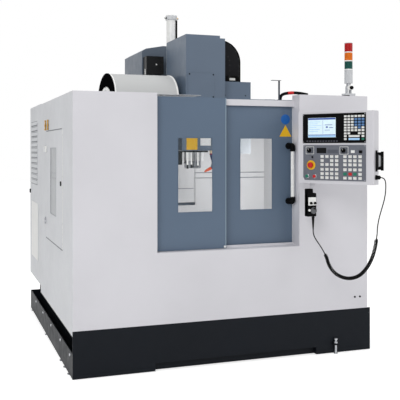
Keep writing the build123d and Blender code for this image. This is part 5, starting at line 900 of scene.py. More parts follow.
@dataclass
class Base(SubAssembly):
    """Coolant tank, bed, feet, column and drives."""

    tray_z: float = 150.0
    drive_labels: tuple[Block, ...] = (((-230, 284.5, 2351), (-218, 287, 2362)),
                                       ((-328, 300, 2262), (-321, 303, 2314)))

    def build(self) -> list[Piece]:
        """Finish the heavy pieces and add the tank's screws and the drive unit's plates."""
        self.finish_nodes(Finishes.base, "base_tank")
        self.finish_nodes(Finishes.casting, "machine_bed", "saddle")
        self.finish_nodes(Finishes.inside, "head_casting")
        self.finish_nodes(Finishes.column, "column")
        self.finish_nodes(Finishes.zinc, "levelling_feet")
        self.finish_nodes(Finishes.steel, "guide_rails", "saddle_rails", "work_table")
        self.finish_nodes(Finishes.turned, "table_screw", "saddle_screw", "head_screw", "spindle")
        self.finish_nodes(Finishes.black, "servo_motors", "table_servo_motor", "spindle_motor")
        feet = [(LEFT_FACE, y, self.tray_z) for y in (-860, -430, 60, 560, 1060)]
        return [self.bench.screws("tray_screws", (11, 7), feet, LEFT, Finishes.zinc, 16),
                self.bench.slabs("drive_plate", self.drive_labels, Finishes.white, 0.5)]


@dataclass
class DoorSet(SubAssembly):
    """Sliding leaf, its window seal and the painted highlight along its edge."""

    side: str = "left"
    glass_x: Pair = (-403.5, -137.5)
    glass_z: Pair = (1135.0, 1680.0)
    front_y: float = -912.0

    @property
    def body(self) -> str:
        """Name of the body that carries the leaf."""
        return f"{self.side}_door"

    def build(self) -> list[Piece]:
        """Finish the leaf and make its seal and the painted highlight on its edge."""
        self.finish_nodes(Finishes.door, f"{self.side}_leaf")
        self.finish_nodes(Finishes.pane, f"{self.side}_window")
        return [self.seal(), *self.edge_highlight()]

    def seal(self) -> Piece:
        """Make the thin rubber seal round the window."""
        outlines = [rectangle(self.glass_x, self.glass_z, 5), rectangle(self.glass_x, self.glass_z)]
        depth = (self.front_y - 1.5, self.front_y + 3)
        return self.bench.cut_sheet(f"{self.side}_window_seal", outlines, depth, Finishes.door)

    def edge_highlight(self) -> list[Piece]:
        """Make the light strip along the folded edge where the leaves meet, which is a painted highlight, and
        the stop button under it.
        """
        low, high = node_box(f"{self.side}_leaf")
        # Light strip along the leaf's edge: a painted highlight.
        edge = ((high.x - 8, self.front_y - 1.2, low.z + 4), (high.x, self.front_y, high.z - 4))
        foot = (high.x - 12, self.front_y - 0.5, low.z + 12)
        button = [(9, 0), (9, 4), (6, 7), (3, 7)]
        return [self.bench.slabs("leaf_edge_highlight", [edge], Finishes.leaf_edge_highlight, 0.5),
                self.bench.spun("leaf_stop", button, [foot], FRONT, Finishes.white, 20)]


@dataclass
class RightDoor(DoorSet):
    """Right leaf with two plain signs and the pull handle."""

    side: str = "right"
    glass_x: Pair = (117.5, 382.5)
    front_y: float = -846.0
    sign_x: float = 499.0
    disc_z: float = 1832.0
    triangle_half: float = 52.0
    triangle_z: Pair = (1697.0, 1787.0)
    grip: Pair = (531.5, -906.0)
    tube_z: Pair = (1210.0, 1604.0)
    elbows: tuple[tuple[str, float, float], ...] = (("low", 1193.0, 1229.0), ("high", 1624.0, 1582.0))

    def build(self) -> list[Piece]:
        """Finish the leaf and make its seal, signs and handle."""
        return super().build() + self.signs() + self.handle()

    def edge_highlight(self) -> list[Piece]:
        """Make nothing, since this leaf has a plain edge."""
        return []

    def signs(self) -> list[Piece]:
        """Make the plain disc and the plain triangle."""
        x, y, half, (low, high) = self.sign_x, self.front_y, self.triangle_half, self.triangle_z
        corners = [(x - half, y, low), (x + half, y, low), (x, y, high)]
        return [self.bench.spun("door_disc", [(39, 0), (39, 0.6), (38, 1)], [(x, y, self.disc_z)], FRONT,
                                Finishes.sign_blue),
                self.bench.plates("door_triangle", corners, (0, -1, 0), Finishes.yellow)]

    def handle(self) -> list[Piece]:
        """Make the white grip tube and the black elbow at each end of it."""
        self.finish_nodes(Finishes.white, "door_handle")
        (x, y), (foot, top) = self.grip, self.tube_z
        pieces = [self.bench.spun("handle_tube", [(14, 0), (14, top - foot)], [(x, y, foot)], UP,
                                  Finishes.white, 32)]
        for name, root, end in self.elbows:
            points = [(x - 8, self.front_y, root), (x - 7, y + 26, root),
                      (x, y, root + (root - end) * 0.12), (x, y, (root + end) / 2), (x, y, end)]
            pieces.append(self.bench.hose(f"handle_elbow_{name}", smooth_line(metres(points), 28),
                                          self.elbow_radius, Finishes.ink, 24))
        for piece in pieces:
            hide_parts("door_handle")
        return pieces

    @staticmethod
    def elbow_radius(share: float) -> float:
        """Return an elbow's radius at a share of its way from the flange to the tube."""
        return 25.0 if share < 0.1 else 22.0 - 4.0 * share


@dataclass
class SideAccess(SubAssembly):
    """Left side door with its pane, seal, lock and hinge covers."""

    body: str = "side_access"
    glass_y: Pair = (-195.0, 106.0)
    glass_z: Pair = (1069.0, 1606.0)
    glass_bars: Pair = (1361.0, 1402.0)
    seal_width: float = 5.0
    door_y: Pair = (-522.0, 380.0)
    door_z: Pair = (844.0, 1749.0)
    lock: Pair = (-447.0, 1337.0)
    hinge_y: float = 395.0
    hinge_z: Pair = (1574.0, 1626.0)

    def build(self) -> list[Piece]:
        """Finish the door and make its seal, lock, gaps and hinge covers."""
        self.finish_nodes(Finishes.side, "side_door")
        self.finish_nodes(Finishes.frosted, "side_window")
        lock = [(17.5, 0), (17.5, 6), (15, 8), (9, 8), (9, 5)]
        foot = (LEFT_FACE - 0.2, *self.lock)
        return [self.seal(), self.bench.spun("side_lock", lock, [foot], LEFT, Finishes.ink, 28),
                *self.frame_lines(), *self.hinge_caps()]

    def seal(self) -> Piece:
        """Make the seal round the pane and the two bars across it."""
        (y0, y1), (z0, z1), wide = self.glass_y, self.glass_z, self.seal_width
        front, back = LEFT_FACE - 1.5, LEFT_FACE + 3
        boxes = [((front, y0 - wide, z0 - wide), (back, y1 + wide, z0)),
                 ((front, y0 - wide, z1), (back, y1 + wide, z1 + wide)),
                 ((front, y0 - wide, z0), (back, y0, z1)), ((front, y1, z0), (back, y1 + wide, z1))]
        boxes += [((LEFT_FACE - 0.6, y0, z), (back, y1, z + 7)) for z in self.glass_bars]
        return self.bench.slabs("side_window_seal", boxes, Finishes.seal, 1)

    def frame_lines(self) -> list[Piece]:
        """Make the shaded gaps above and below the door, and a white strip along its front edge that is a
        painted highlight.
        """
        (y0, y1), (z0, z1), x = self.door_y, self.door_z, LEFT_FACE
        gaps = [((x - 0.5, y0 + 40, z1 + 1), (x + 2, y1 - 30, z1 + 8)),
                ((x - 0.5, y0 - 2, z0 - 9), (x + 2, y1, z0 - 1))]
        # White strip along the door's front edge: a painted highlight.
        edge = [((x - 1, y0 - 1, z0 + 2), (x + 1, y0 + 9, z1 - 2))]
        return [Bench("machine").slabs("side_door_gaps", gaps, Finishes.groove_shading, 0.4),
                self.bench.slabs("side_door_edge_highlight", edge, Finishes.white, 0.5)]

    def hinge_caps(self) -> list[Piece]:
        """Make the white cover over each half of the upper hinge."""
        (foot, top), y, front, back = self.hinge_z, self.hinge_y, LEFT_FACE - 12, LEFT_FACE - 0.5
        fixed = ((front, y + 9, foot), (back, y + 52, top))
        swung = ((front, y - 60, foot), (back, y - 9, top))
        return [Bench("machine").slabs("side_hinge_cap", [fixed], Finishes.white, 2),
                self.bench.slabs("side_door_hinge_cap", [swung], Finishes.white, 2)]


@dataclass
class Cabinet(SubAssembly):
    """Electrical cabinet and its door."""

    screw_z: float = 2010.0
    vent_y: Pair = (978.0, 1455.0)
    vent_z: Pair = (1260.0, 1872.0)
    vent_count: int = 12
    scale_foot: Triple = (-1110.0, 1550.0, 1178.0)
    plate_y: Pair = (918.0, 1413.0)
    plate_z: Pair = (554.0, 1087.0)
    latch_y: Pair = (1512.0, 1546.0)
    latch_z: Pair = (1160.0, 1198.0)

    def build(self) -> list[Piece]:
        """Finish the cabinet, its door and its knob, and make what is fixed to them."""
        self.finish_nodes(Finishes.side, "electrical_cabinet", "cabinet_door")
        self.finish_nodes(Finishes.ink, "isolator_knob")
        scale = Bench("cabinet_access").spun("isolator_scale", [(44, 0), (44, 0.5), (43, 1)],
                                             [self.scale_foot], BACK, Finishes.yellow)
        feet = [(x, y, self.screw_z) for x in (-1150, -500) for y in (770, 1510)]
        (y0, y1), (z0, z1) = self.plate_y, self.plate_z
        plate = ((LEFT_FACE - 3.6, y0, z0), (LEFT_FACE - 1, y1, z1))
        (y0, y1), (z0, z1) = self.latch_y, self.latch_z
        latch = ((LEFT_FACE - 10, y0, z0), (LEFT_FACE, y1, z1))
        return [scale, self.bench.screws("cabinet_screws", (8, 4), feet, UP, Finishes.zinc),
                self.vent_slots(), self.bench.slabs("side_plate", [plate], Finishes.film, 0.5),
                self.bench.slabs("rear_latch", [latch], Finishes.ink, 4)]

    def vent_slots(self) -> Piece:
        """Make the two shaded slots of each pressed louvre."""
        (y0, y1), (z0, z1) = self.vent_y, self.vent_z
        pitch = (z1 - z0) / self.vent_count
        boxes = []
        for index in range(self.vent_count):
            z = z0 + index * pitch
            boxes += [((LEFT_FACE - reach, y0, low), (LEFT_FACE, y1, high))
                      for reach, low, high in ((0.6, z - 1, z + 7), (0.6, z + 40, z + 44))]
        return self.bench.slabs("vent_slots", boxes, Finishes.groove_shading, 0.3)


@dataclass
class HeadDress(SubAssembly):
    """Head cover, booster, energy chain and the pipes under the head."""

    body: str = "head"
    cover_front: float = -392.0
    yellow_plate: tuple[Pair, Pair] = ((-166.0, -72.0), (1594.0, 1700.0))
    white_plate: tuple[Pair, Pair] = ((-46.0, 44.0), (1628.0, 1720.0))
    booster_place: Triple = (-110.0, 205.0, 2786.0)
    nozzle_y: float = -330.0
    plate_z: float = 1590.0
    hose_x: float = 69.0
    hose_z: float = 1562.0
    nozzle_start: Triple = (62.0, -346.5, 1442.0)
    nozzle_aim: Triple = (2.0, -353.0, 1412.0)
    chain_centre: Pair = (180.0, 2335.0)
    chain_front: float = -245.0
    link_x: Pair = (268.0, 352.0)
    link_reach: Pair = (88.0, 172.0)
    link_foot: float = 2100.0
    link_length: float = 47.0
    link_turn: float = 22.5

    def build(self) -> list[Piece]:
        """Finish the head's nodes and make its small pieces."""
        self.finish_nodes(Finishes.head, "head_cover")
        self.finish_nodes(Finishes.white, "booster_cylinder")
        self.finish_nodes(Finishes.chain, "energy_chain")
        self.finish_nodes(Finishes.zinc, "coolant_nozzles")
        return [*self.cover_pieces(), *self.booster(), *self.pipes(), *self.hose_parts(), *self.manifold(),
                self.chain_pins(), *self.chain_parts()]

    def cover_pieces(self) -> list[Piece]:
        """Make the access plate's screws and the plain yellow and white plates low on the cover."""
        y = self.cover_front
        feet = [(x, y - 3, z) for x in (-141, 65) for z in (2027, 2210)]
        pieces = [self.bench.screws("access_screws", (6, 3), feet, FRONT, Finishes.ink)]
        for name, ((left, right), (foot, top)), finish in (
                ("head_yellow_plate", self.yellow_plate, Finishes.yellow),
                ("head_white_plate", self.white_plate, Finishes.white)):
            pieces.append(self.bench.slabs(name, [((left, y - 1.2, foot), (right, y, top))], finish, 0.4))
        return pieces

    def booster(self) -> list[Piece]:
        """Make the cap, fittings and rod of the release cylinder."""
        x, y, top = self.booster_place
        left_port, right_port = (x - 48, y - 10, top - 24), (x + 48, y - 10, top - 24)
        rod, rod_foot = [(7.6, 0), (7.6, 590)], (x + 38, y - 34, 2152)
        cap = [(46, 0), (51, 2), (51, 36), (48, 41), (20, 41.5)]
        elbow = [(9.5, 0), (9.5, 9), (6.5, 10), (6.5, 16)]
        union = [(8.5, 0), (8.5, 7), (5, 8), (5, 17)]
        return [self.bench.spun("booster_cap", cap, [(x, y, top - 41)], UP, Finishes.light_grey),
                self.bench.spun("booster_elbow", elbow, [left_port], LEFT, Finishes.ink, 20),
                self.bench.spun("booster_union", union, [right_port], RIGHT, Finishes.brass, 20),
                self.bench.spun("booster_rod", rod, [rod_foot], UP, Finishes.ink, 20)]

    def pipes(self) -> list[Piece]:
        """Make the straight coolant pipes and their tips, each with its place, length and radius; the chrome
        pipes are painted white as a painted highlight.
        """
        groups = (("black_pipe", Finishes.ink, ((-158, 108, 6.0), (-89, 140, 3.4), (-62, 90, 3.2))),
                  # pipes_painted_highlight: chrome pipes painted white, a painted highlight on bare metal.
                  ("pipes_painted_highlight", Finishes.white, ((-136, 120, 6.6), (-102, 118, 6.6), (-46, 126, 6.6))),
                  ("grey_pipes", Finishes.zinc, ((-75, 132, 5.4), (-28, 124, 5.2))),
                  ("pipe_tips", Finishes.plastic, ((-136, 152, 5.0), (-102, 146, 5.2), (-46, 138, 4.4))))
        pieces = []
        for name, finish, group in groups:
            for index, (x, length, radius) in enumerate(group):
                profile = [(radius + 3, 0), (radius + 3, 14), (radius, 15), (radius, length - 14),
                           (radius + 1, length - 12), (radius + 1, length)]
                foot = (x, self.nozzle_y, self.plate_z)
                pieces.append(self.bench.spun(f"{name}_{index}", profile, [foot], DOWN, finish, 16))
        return pieces

    def hose_parts(self) -> list[Piece]:
        """Make the beaded coolant hose with its socket, ring and nozzle."""
        x, y, top = self.hose_x, self.nozzle_y, self.hose_z
        points = [(x, y, top), (70, y - 1, 1540), (82, y - 6, 1510), (85, y - 9, 1484), (78, y - 13, 1458),
                  (58, y - 17, 1438)]
        socket, ring = [(13, 0), (13, 22), (11, 24), (11, 28)], [(12.5, 0), (12.5, 5), (11, 6)]
        nozzle = [(12, 0), (13, 8), (12, 22), (9, 48), (5, 66), (3, 66)]
        aim = (Vector(self.nozzle_aim) - Vector(self.nozzle_start)).normalized()
        return [self.bench.hose("coolant_hose", smooth_line(metres(points), 72), self.bead_radius,
                                Finishes.hose_blue, 16),
                self.bench.spun("hose_socket", socket, [(x, y, self.plate_z)], DOWN, Finishes.beige, 24),
                self.bench.spun("hose_ring", ring, [(x, y, top)], DOWN, Finishes.red, 24),
                self.bench.spun("hose_nozzle", nozzle, [self.nozzle_start], aim, Finishes.orange, 24)]

    @staticmethod
    def bead_radius(share: float) -> float:
        """Return the hose's radius at a share of its way, which nine beads swell."""
        return 9.4 + 2.6 * abs(math.sin(share * 9 * math.pi))

    def manifold(self) -> list[Piece]:
        """Make the manifold, the painted shade in the seam of the head's flange, the hanging block, and a
        black plate that is painted shade under the head.
        """
        block = [((-205, -302, 1470), (-173, -262, 1586))]
        block += [((-199, -306, z), (-180, -302, z + 20)) for z in (1500, 1545)]
        parts = (("head_manifold", [((-204, -282, 1588), (-171, -204, 1692))], Finishes.slate, 2),
                 # flange_seam: painted shade in the seam of the head's flange.
                 ("flange_seam", [((-146, 339.3, 1235), (146, 340.3, 1241))], Finishes.groove_shading, 0.2),
                 ("manifold_block", block, Finishes.ink, 3),
                 # head_underside_shade: black plate standing for the shade under the head.
                 ("head_underside_shade", [((-172, -390, 1573), (20, -296, 1586))], Finishes.ink, 1))
        return [self.bench.slabs(*part) for part in parts]

    def chain_pins(self) -> Piece:
        """Make the link pins on both edges of the chain's upright run and of its bend."""
        pins = [(x, self.link_foot + (link + 0.5) * self.link_length)
                for link in range(5) for x in self.link_x]
        for link in range(4):
            for reach in self.link_reach:
                pins += arc(self.chain_centre, reach, [90 - (link + 0.5) * self.link_turn])
        feet = [(x, self.chain_front, z) for x, z in pins]
        return self.bench.spun("chain_pins", [(9, 0), (9, 3), (6, 4.5)], feet, FRONT, Finishes.black, 14)

    def chain_parts(self) -> list[Piece]:
        """Make the chain's end plate, tag and foot, its black front skin and the panel on that; both sheets
        also fill the inside of the loop, where the black is painted shade.
        """
        bend = range(0, 85, 5)
        # Both outlines run over the loop's inside, where the black is painted shade; over the links it is the
        # chain's own black.
        skin_and_loop_shade_edge = [(203, 2166), (368, 2166), *arc(self.chain_centre, 188, bend), (203, 2440)]
        panel_and_loop_shade_edge = [(205, 2222), (354, 2222), *arc(self.chain_centre, 174, bend), (205, 2440)]
        end, tag = ((171, -259, 2424), (178, -175, 2514)), ((266, -250.5, 2184), (318, -248, 2203))
        foot = ((203, -249, 2168), (366, -247.5, 2216))
        return [self.bench.slabs("chain_end_plate", [end], Finishes.zinc, 1),
                self.bench.slabs("chain_tag", [tag], Finishes.white, 0.4),
                self.bench.cut_sheet("chain_skin_loop_shade", [skin_and_loop_shade_edge], (-248.6, -247), Finishes.ink),
                self.bench.cut_sheet("chain_panel_loop_shade", [panel_and_loop_shade_edge], (-249.4, -248.4), Finishes.chain, 0.3),
                self.bench.slabs("chain_foot", [foot], Finishes.ink, 0.5)]


@dataclass
class TopGear(SubAssembly):
    """Chain trough with its screws, and the cable arch on the roof."""

    cable_y: float = -850.0
    cable_radius: float = 12.0
    band_radius: float = 12.8
    trough_front: float = -300.0

    def build(self) -> list[Piece]:
        """Finish the trough and make its screws and the banded cable arch beside the roof bracket."""
        self.finish_nodes(Finishes.trough, "chain_trough")
        arch = ((452, 1985), (455, 2014), (482, 2032), (545, 2042), (626, 2041), (690, 2030))
        line = smooth_line(metres((x, self.cable_y, z) for x, z in arch), 48)
        feet = [(x, self.trough_front, z) for x in (205, 392) for z in (1860, 2052)]
        return [self.bench.hose("roof_cable", line, lambda share: self.cable_radius, Finishes.ink, 14),
                self.bench.hose("roof_cable_band", line[16:26], lambda share: self.band_radius,
                                Finishes.key_red, 14),
                self.bench.screws("trough_screws", (5, 3), feet, FRONT, Finishes.ink)]


@dataclass
class Magazine(SubAssembly):
    """Carriage, tool disc and tool holders."""

    body: str = "tool_disc"
    cap_foot: Triple = (-494.5, -67.0, 1362.0)

    def build(self) -> list[Piece]:
        """Finish the magazine and cap its tool disc."""
        self.finish_nodes(Finishes.zinc, "magazine_carriage")
        self.finish_nodes(Finishes.steel, "carousel")
        self.finish_nodes(Finishes.turned, "tool_holders")
        return [self.bench.spun("disc_cover", [(150, 0), (150, 4), (140, 9), (76, 9)], [self.cap_foot], UP,
                                Finishes.deck, 64)]


@dataclass
class SignalLight(SubAssembly):
    """Folding signal light with three ribbed lenses."""

    body: str = "signal_light"
    centre: Pair = (1027.5, -907.0)
    lenses: tuple[Pair, ...] = ((2236.0, 2299.0), (2305.0, 2368.0), (2374.0, 2446.0))
    radius: float = 32.5
    rib_count: int = 9
    cap_z: float = 2443.0
    pivot_z: float = 2089.0

    def build(self) -> list[Piece]:
        """Finish the post and make the ribbed lenses, rings, cap and clamp."""
        self.finish_nodes(Finishes.light_grey, "light_post", "light_bracket")
        x, y = self.centre
        colours = (("green", Finishes.green), ("amber", Finishes.amber), ("red", Finishes.red))
        pieces = []
        for (low, high), (name, finish) in zip(self.lenses, colours):
            lens = self.ribbed(high - low)
            pieces.append(self.bench.spun(f"{name}_lens", lens, [(x, y, low)], UP, finish, 48))
        for lens in pieces:
            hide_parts("light_lenses")
        ring, cap = [(31, 0), (33.2, 1.5), (33.2, 8.5), (31, 10)], [(32.6, 0), (32.6, 3), (28, 5.5), (10, 6)]
        ring_feet, cap_foot = [(x, y, low - 7) for low, _ in self.lenses], (x, y, self.cap_z)
        return [*pieces, *self.clamp(),
                self.bench.spun("lens_rings", ring, ring_feet, UP, Finishes.white, 48),
                self.bench.spun("light_cap", cap, [cap_foot], UP, Finishes.light_grey, 48)]

    def clamp(self) -> list[Piece]:
        """Make the bracket's clamp knob, its white boss and the dark half of its foot."""
        low, high = node_box("light_bracket")
        bench, (x, y), z = Bench("machine"), self.centre, self.pivot_z
        foot = ((low.x - 0.4, low.y - 0.4, low.z), (x - 10, high.y, low.z + 8.5))
        boss = [(19, 0), (19, 5), (16, 7), (6, 7)]
        knob = [(14.5, 0), (14.5, 3), (13.6, 4), (13.6, 12), (10, 14)]
        return [bench.spun("light_boss", boss, [(x - 2, y - 17, z)], FRONT, Finishes.white, 32),
                bench.spun("light_knob", knob, [(x + 12, y - 24, z)], FRONT, Finishes.ink, 28),
                bench.slabs("light_foot", [foot], Finishes.black, 1)]

    def ribbed(self, height: float) -> list[Pair]:
        """Return the ribbed outline of a lens.

        Args:
            height: Height of the lens in millimetres.

        Returns:
            Radius and height pairs.
        """
        outline = [(self.radius - 1.5, 0.0)]
        for index in range(self.rib_count):
            start = height * index / self.rib_count
            outline.append((self.radius - 1.2, start + 0.4))
            outline.append((self.radius, start + height / self.rib_count * 0.5))
        outline.append((self.radius - 1.5, height))
        return outline


@dataclass
class Console(SubAssembly):
    """Swivelling console: screen, keys, dials and switches.

    Its pieces are placed along its width t, out of its face and up z, in millimetres.
    """

    body: str = "console"
    corner: Pair = (508.5, -1043.0)
    turn: float = -56.83
    face: float = -5.0
    shell_t: Pair = (60.0, 537.0)
    screen_t: Pair = (44.0, 553.0)
    screen_z: Pair = (1644.0, 1861.0)
    glass_t: Pair = (87.0, 317.0)
    glass_z: Pair = (1685.0, 1832.0)
    glass_sunk: float = 3.0
    panel_t: Pair = (48.0, 553.0)
    panel_z: Pair = (1368.0, 1629.0)
    handle_depth: float = 46.0
    key_columns: tuple[float, ...] = (395.5, 422.7, 449.7, 477.8, 505.1, 532.8)
    key_rows: tuple[float, ...] = (1837, 1815.5, 1795, 1774.5, 1754.5, 1735, 1713, 1693, 1672)
    panel_columns: tuple[float, ...] = (207.9, 247.6, 286.3, 326.5, 392.5, 433, 470.6, 511)
    panel_rows: tuple[float, ...] = (1544.5, 1514.7, 1485.5, 1450, 1418.5, 1389)
    dials: tuple[tuple[str, Pair], ...] = (("feed_selector", (102.0, 1590.0)),
                                           ("mode_selector", (381.0, 1589.0)))
    stop_place: Pair = (115.0, 1480.0)
    start_t: float = 83.0
    halt_t: float = 145.0
    button_z: float = 1397.0
    button_base: float = 8.0
    dial_shift: float = 3.0
    dial_field: Triple = (62.0, 1.6, 50.0)
    dial_rim: Triple = (68.0, 1.2, 56.0)
    tick: Triple = (1.6, 2.0, 1.6)
    tick_reach: float = 21.0
    tick_angles: range = range(-30, 211, 24)
    dark_label: Spot = ((201.5, 1589.0), (79.0, 1.6, 40.0))
    light_label: Spot = ((293.5, 1582.5), (85.0, 1.6, 25.0))
    white_switch: Spot = ((454.5, 1581.0), (29.0, 5.0, 20.0))
    black_switches: tuple[Spot, ...] = (((515.0, 1580.0), (24.0, 7.0, 20.0)),
                                        ((127.0, 1539.5), (10.0, 9.0, 15.0)))

    @property
    def frame(self) -> Matrix:
        """Place of the console in the room."""
        move = Matrix.Translation(Vector((*self.corner, 0)) * MM)
        return move @ Matrix.Rotation(math.radians(self.turn), 4, "Z")

    @property
    def bench(self) -> Bench:
        """Bench in console directions that fastens pieces to the console."""
        return self.on(self.body)

    def on(self, body: str) -> Bench:
        """Return a bench in console directions for one of its bodies."""
        return Bench(body, self.frame)

    def build(self) -> list[Piece]:
        """Finish the console's nodes and make everything on its face."""
        self.finish_nodes(Finishes.housing, "console_box")
        self.finish_nodes(Finishes.ink, "screen_unit", "lead_connector", "console_handle")
        self.finish_nodes(Finishes.ink, "feed_dial", "mode_dial")
        self.finish_nodes(Finishes.panel, "operator_panel")
        self.finish_nodes(Finishes.key_red, "emergency_stop", "stop_button")
        self.finish_nodes(Finishes.key_green, "start_button")
        return [*self.cases(), *self.handle_trim(), *self.screen(), *self.screen_keys(), *self.panel_keys(),
                *self.scales(), *self.buttons(), self.face_screws()]

    def raised(self, spots: Iterable[Spot], lift: float = 0.0) -> list[Block]:
        """Return blocks centred on places of the face.

        Args:
            spots: Centre of each along and up the console, then its width, how far it stands
                out of the face, and its height.
            lift: How far the backs lie out of the face.

        Returns:
            Lowest and highest corner of each block.
        """
        face = self.face
        return [((t - width / 2, face - out, z - height / 2), (t + width / 2, face - lift, z + height / 2))
                for (t, z), (width, out, height) in spots]

    def keys(self, name: str, centres: Iterable[Pair], size: Pair, lift: float, finish: Finish) -> Piece:
        """Make a group of rounded keys.

        Args:
            name: Name of the piece.
            centres: Place of each key along and up the console.
            size: Width and height of a key.
            lift: Height of the keys above the face plate.
            finish: Finish of the keys.

        Returns:
            The piece.
        """
        block = (size[0] + 1.4, lift + 0.8, size[1] + 1.4)
        return self.bench.slabs(name, self.raised((centre, block) for centre in centres), finish, 1.6)

    def cases(self) -> list[Piece]:
        """Make the case of the screen unit and of the operator panel in place of the plain nodes."""
        (left, right), (foot, top), (inner, outer) = self.screen_t, self.screen_z, self.shell_t
        (t0, t1), (z0, z1), front = self.glass_t, self.glass_z, self.face
        rims = [((left, front, foot), (t0, 0, top)), ((t1, front, foot), (right, 0, top)),
                ((t0 - 1, front, foot), (t1 + 1, 0, z0)), ((t0 - 1, front, z1), (t1 + 1, 0, top)),
                ((t0 - 1, front + self.glass_sunk, z0 - 1), (t1 + 1, 0, z1 + 1)),
                ((inner, -1, foot + 16), (outer, 60, top - 16))]
        screen = self.bench.slabs("screen_case", rims, Finishes.ink, 0.8)
        (left, right), (foot, top) = self.panel_t, self.panel_z
        outline = [(left + 12, front, foot), (right, front, foot), (right, front, top), (left, front, top),
                   (left, front, foot + 22)]
        face = self.bench.plates("panel_face", outline, (0, 5, 0), Finishes.panel)
        shell = ((inner + 4, -1, foot + 16), (outer, 50, top - 16))
        body = self.bench.slabs("panel_body", [shell], Finishes.panel, 1.5)
        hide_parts("screen_unit")
        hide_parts("operator_panel")
        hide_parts("operator_panel")
        return [screen, face, body]

    def handle_trim(self) -> list[Piece]:
        """Make the dark pad, the light strip and the two knobs of the console's handle."""
        depth = self.handle_depth
        pad = ((612, depth - 15, 1462), (634, depth + 15, 1567))
        strip = ((634, depth - 13, 1470), (641, depth + 13, 1559))
        knob, feet = [(9, 0), (9, 7), (6, 9)], [(646, depth - 9, z) for z in (1562, 1468)]
        return [self.bench.slabs("handle_pad", [pad], Finishes.plastic, 4),
                self.bench.slabs("handle_strip", [strip], Finishes.light_grey, 2),
                self.bench.spun("handle_knobs", knob, feet, FRONT, Finishes.ink, 20)]

    def screen(self) -> list[Piece]:
        """Make the screen glass and its plain bars."""
        (t0, t1), (z0, z1), depth = self.glass_t, self.glass_z, self.face + self.glass_sunk
        glass = ((t0 + 1, depth - 1.4, z0 + 1), (t1 - 1, depth, z1 - 1))
        dark = ((90, 314, 1817, 1829), (90, 314, 1702, 1707), (226, 290, 1776, 1780),
                (236, 252, 1756, 1767), (262, 296, 1756, 1760), (226, 270, 1738, 1741),
                (211, 213, 1712, 1812))
        pale = [(90, 314, 1688, 1701)]
        pale += [(98, 98 + width, 1800 - row * 14, 1803 - row * 14)
                 for row, width in enumerate((92, 70, 104, 60, 88, 74))]
        pieces = [self.bench.slabs("screen_glass", [glass], Finishes.screen, 0.5)]
        for name, bars, finish in (("screen_bars", dark, Finishes.screen_bar),
                                   ("screen_pale_bars", pale, Finishes.screen_pale)):
            boxes = [((left, depth - 1.8, foot), (right, depth - 1.2, top))
                     for left, right, foot, top in bars]
            pieces.append(self.bench.slabs(name, boxes, finish, 0.2))
        return pieces

    def screen_keys(self) -> list[Piece]:
        """Make the white and blue keys beside the screen and the dim ones under it."""
        *rows, long_row, last_row = self.key_rows
        white, blue = [], []
        for row, z in enumerate(rows):
            for column, t in enumerate(self.key_columns):
                if row == 6 and column in (2, 3):
                    continue
                is_blue = (row in (1, 2, 3) and column > 2) or (row == 4 and column == 4)
                (blue if is_blue else white).append((t, z))
        first, last = self.key_columns[0], self.key_columns[-1]
        middle = (first + last) / 2
        white += [(first, long_row), (last, long_row), (first, last_row)]
        soft = [(84 + index * 22.2, 1658) for index in range(12)]
        square, wide = (19, 13), (84, 13)
        groups = (("screen_white_keys", white, square, Finishes.key_white),
                  ("screen_blue_keys", blue, square, Finishes.key_blue),
                  ("screen_long_keys", [(middle, long_row)], wide, Finishes.key_white),
                  ("screen_pale_key", [(middle, last_row)], wide, Finishes.screen_pale),
                  ("screen_green_key", [(last, last_row)], square, Finishes.key_green),
                  ("screen_soft_keys", soft, (12, 8), Finishes.key_dim))
        return [self.keys(name, centres, size, 3, finish) for name, centres, size, finish in groups]

    def panel_keys(self) -> list[Piece]:
        """Make the keys of the machine panel and the lamps of the white ones."""
        special = {(4, 4): "green", (4, 5): "red", (4, 6): "green"}
        groups: dict[str, list[Pair]] = {"white": [], "green": [], "red": []}
        for row, z in enumerate(self.panel_rows):
            for index, t in enumerate(self.panel_columns):
                if (row, index) != (1, 1):
                    groups[special.get((row, index), "white")].append((t, z))
        finishes = {"white": Finishes.key_white, "green": Finishes.key_green, "red": Finishes.key_red}
        pieces = [self.keys(f"panel_{name}_keys", places, (24, 19), 4, finishes[name])
                  for name, places in groups.items()]
        dots = [(t, self.face - 4.9, z + 5) for t, z in groups["white"]]
        pieces.append(self.bench.spun("panel_key_lamps", [(1.8, 0), (1.8, 0.6), (1, 0.9)], dots, FRONT,
                                      Finishes.key_red, 10))
        return pieces

    def scales(self) -> list[Piece]:
        """Make the dial fields, the label fields and the small switches."""
        centres = [place for _, place in self.dials]
        fields = [((t + self.dial_shift, z), self.dial_field) for t, z in centres]
        rims = [(place, self.dial_rim) for place, _ in fields]
        ticks = [(place, self.tick) for centre in centres
                 for place in arc(centre, self.tick_reach, self.tick_angles)]
        ring = [(35.6, 0), (35.6, 2.2), (33, 3), (22, 3), (22, 1)]
        t, z = self.stop_place
        yellow = self.bench.spun("stop_ring", ring, [(t, self.face, z)], FRONT, Finishes.yellow, 56)
        parts = (("dial_fields", self.raised(fields, 1), Finishes.panel_field, 0.3),
                 ("dial_rims", self.raised(rims, 0.6), Finishes.white, 0.2),
                 ("label_field_dark", self.raised([self.dark_label], 1), Finishes.plastic, 0.3),
                 ("label_field_light", self.raised([self.light_label], 1), Finishes.panel_field, 0.3),
                 ("dial_ticks", self.raised(ticks, 1.4), Finishes.white, 0.1),
                 ("white_switch", self.raised([self.white_switch]), Finishes.white, 4),
                 ("black_switches", self.raised(self.black_switches), Finishes.ink, 1.5))
        return [*[self.bench.slabs(*part) for part in parts], yellow]

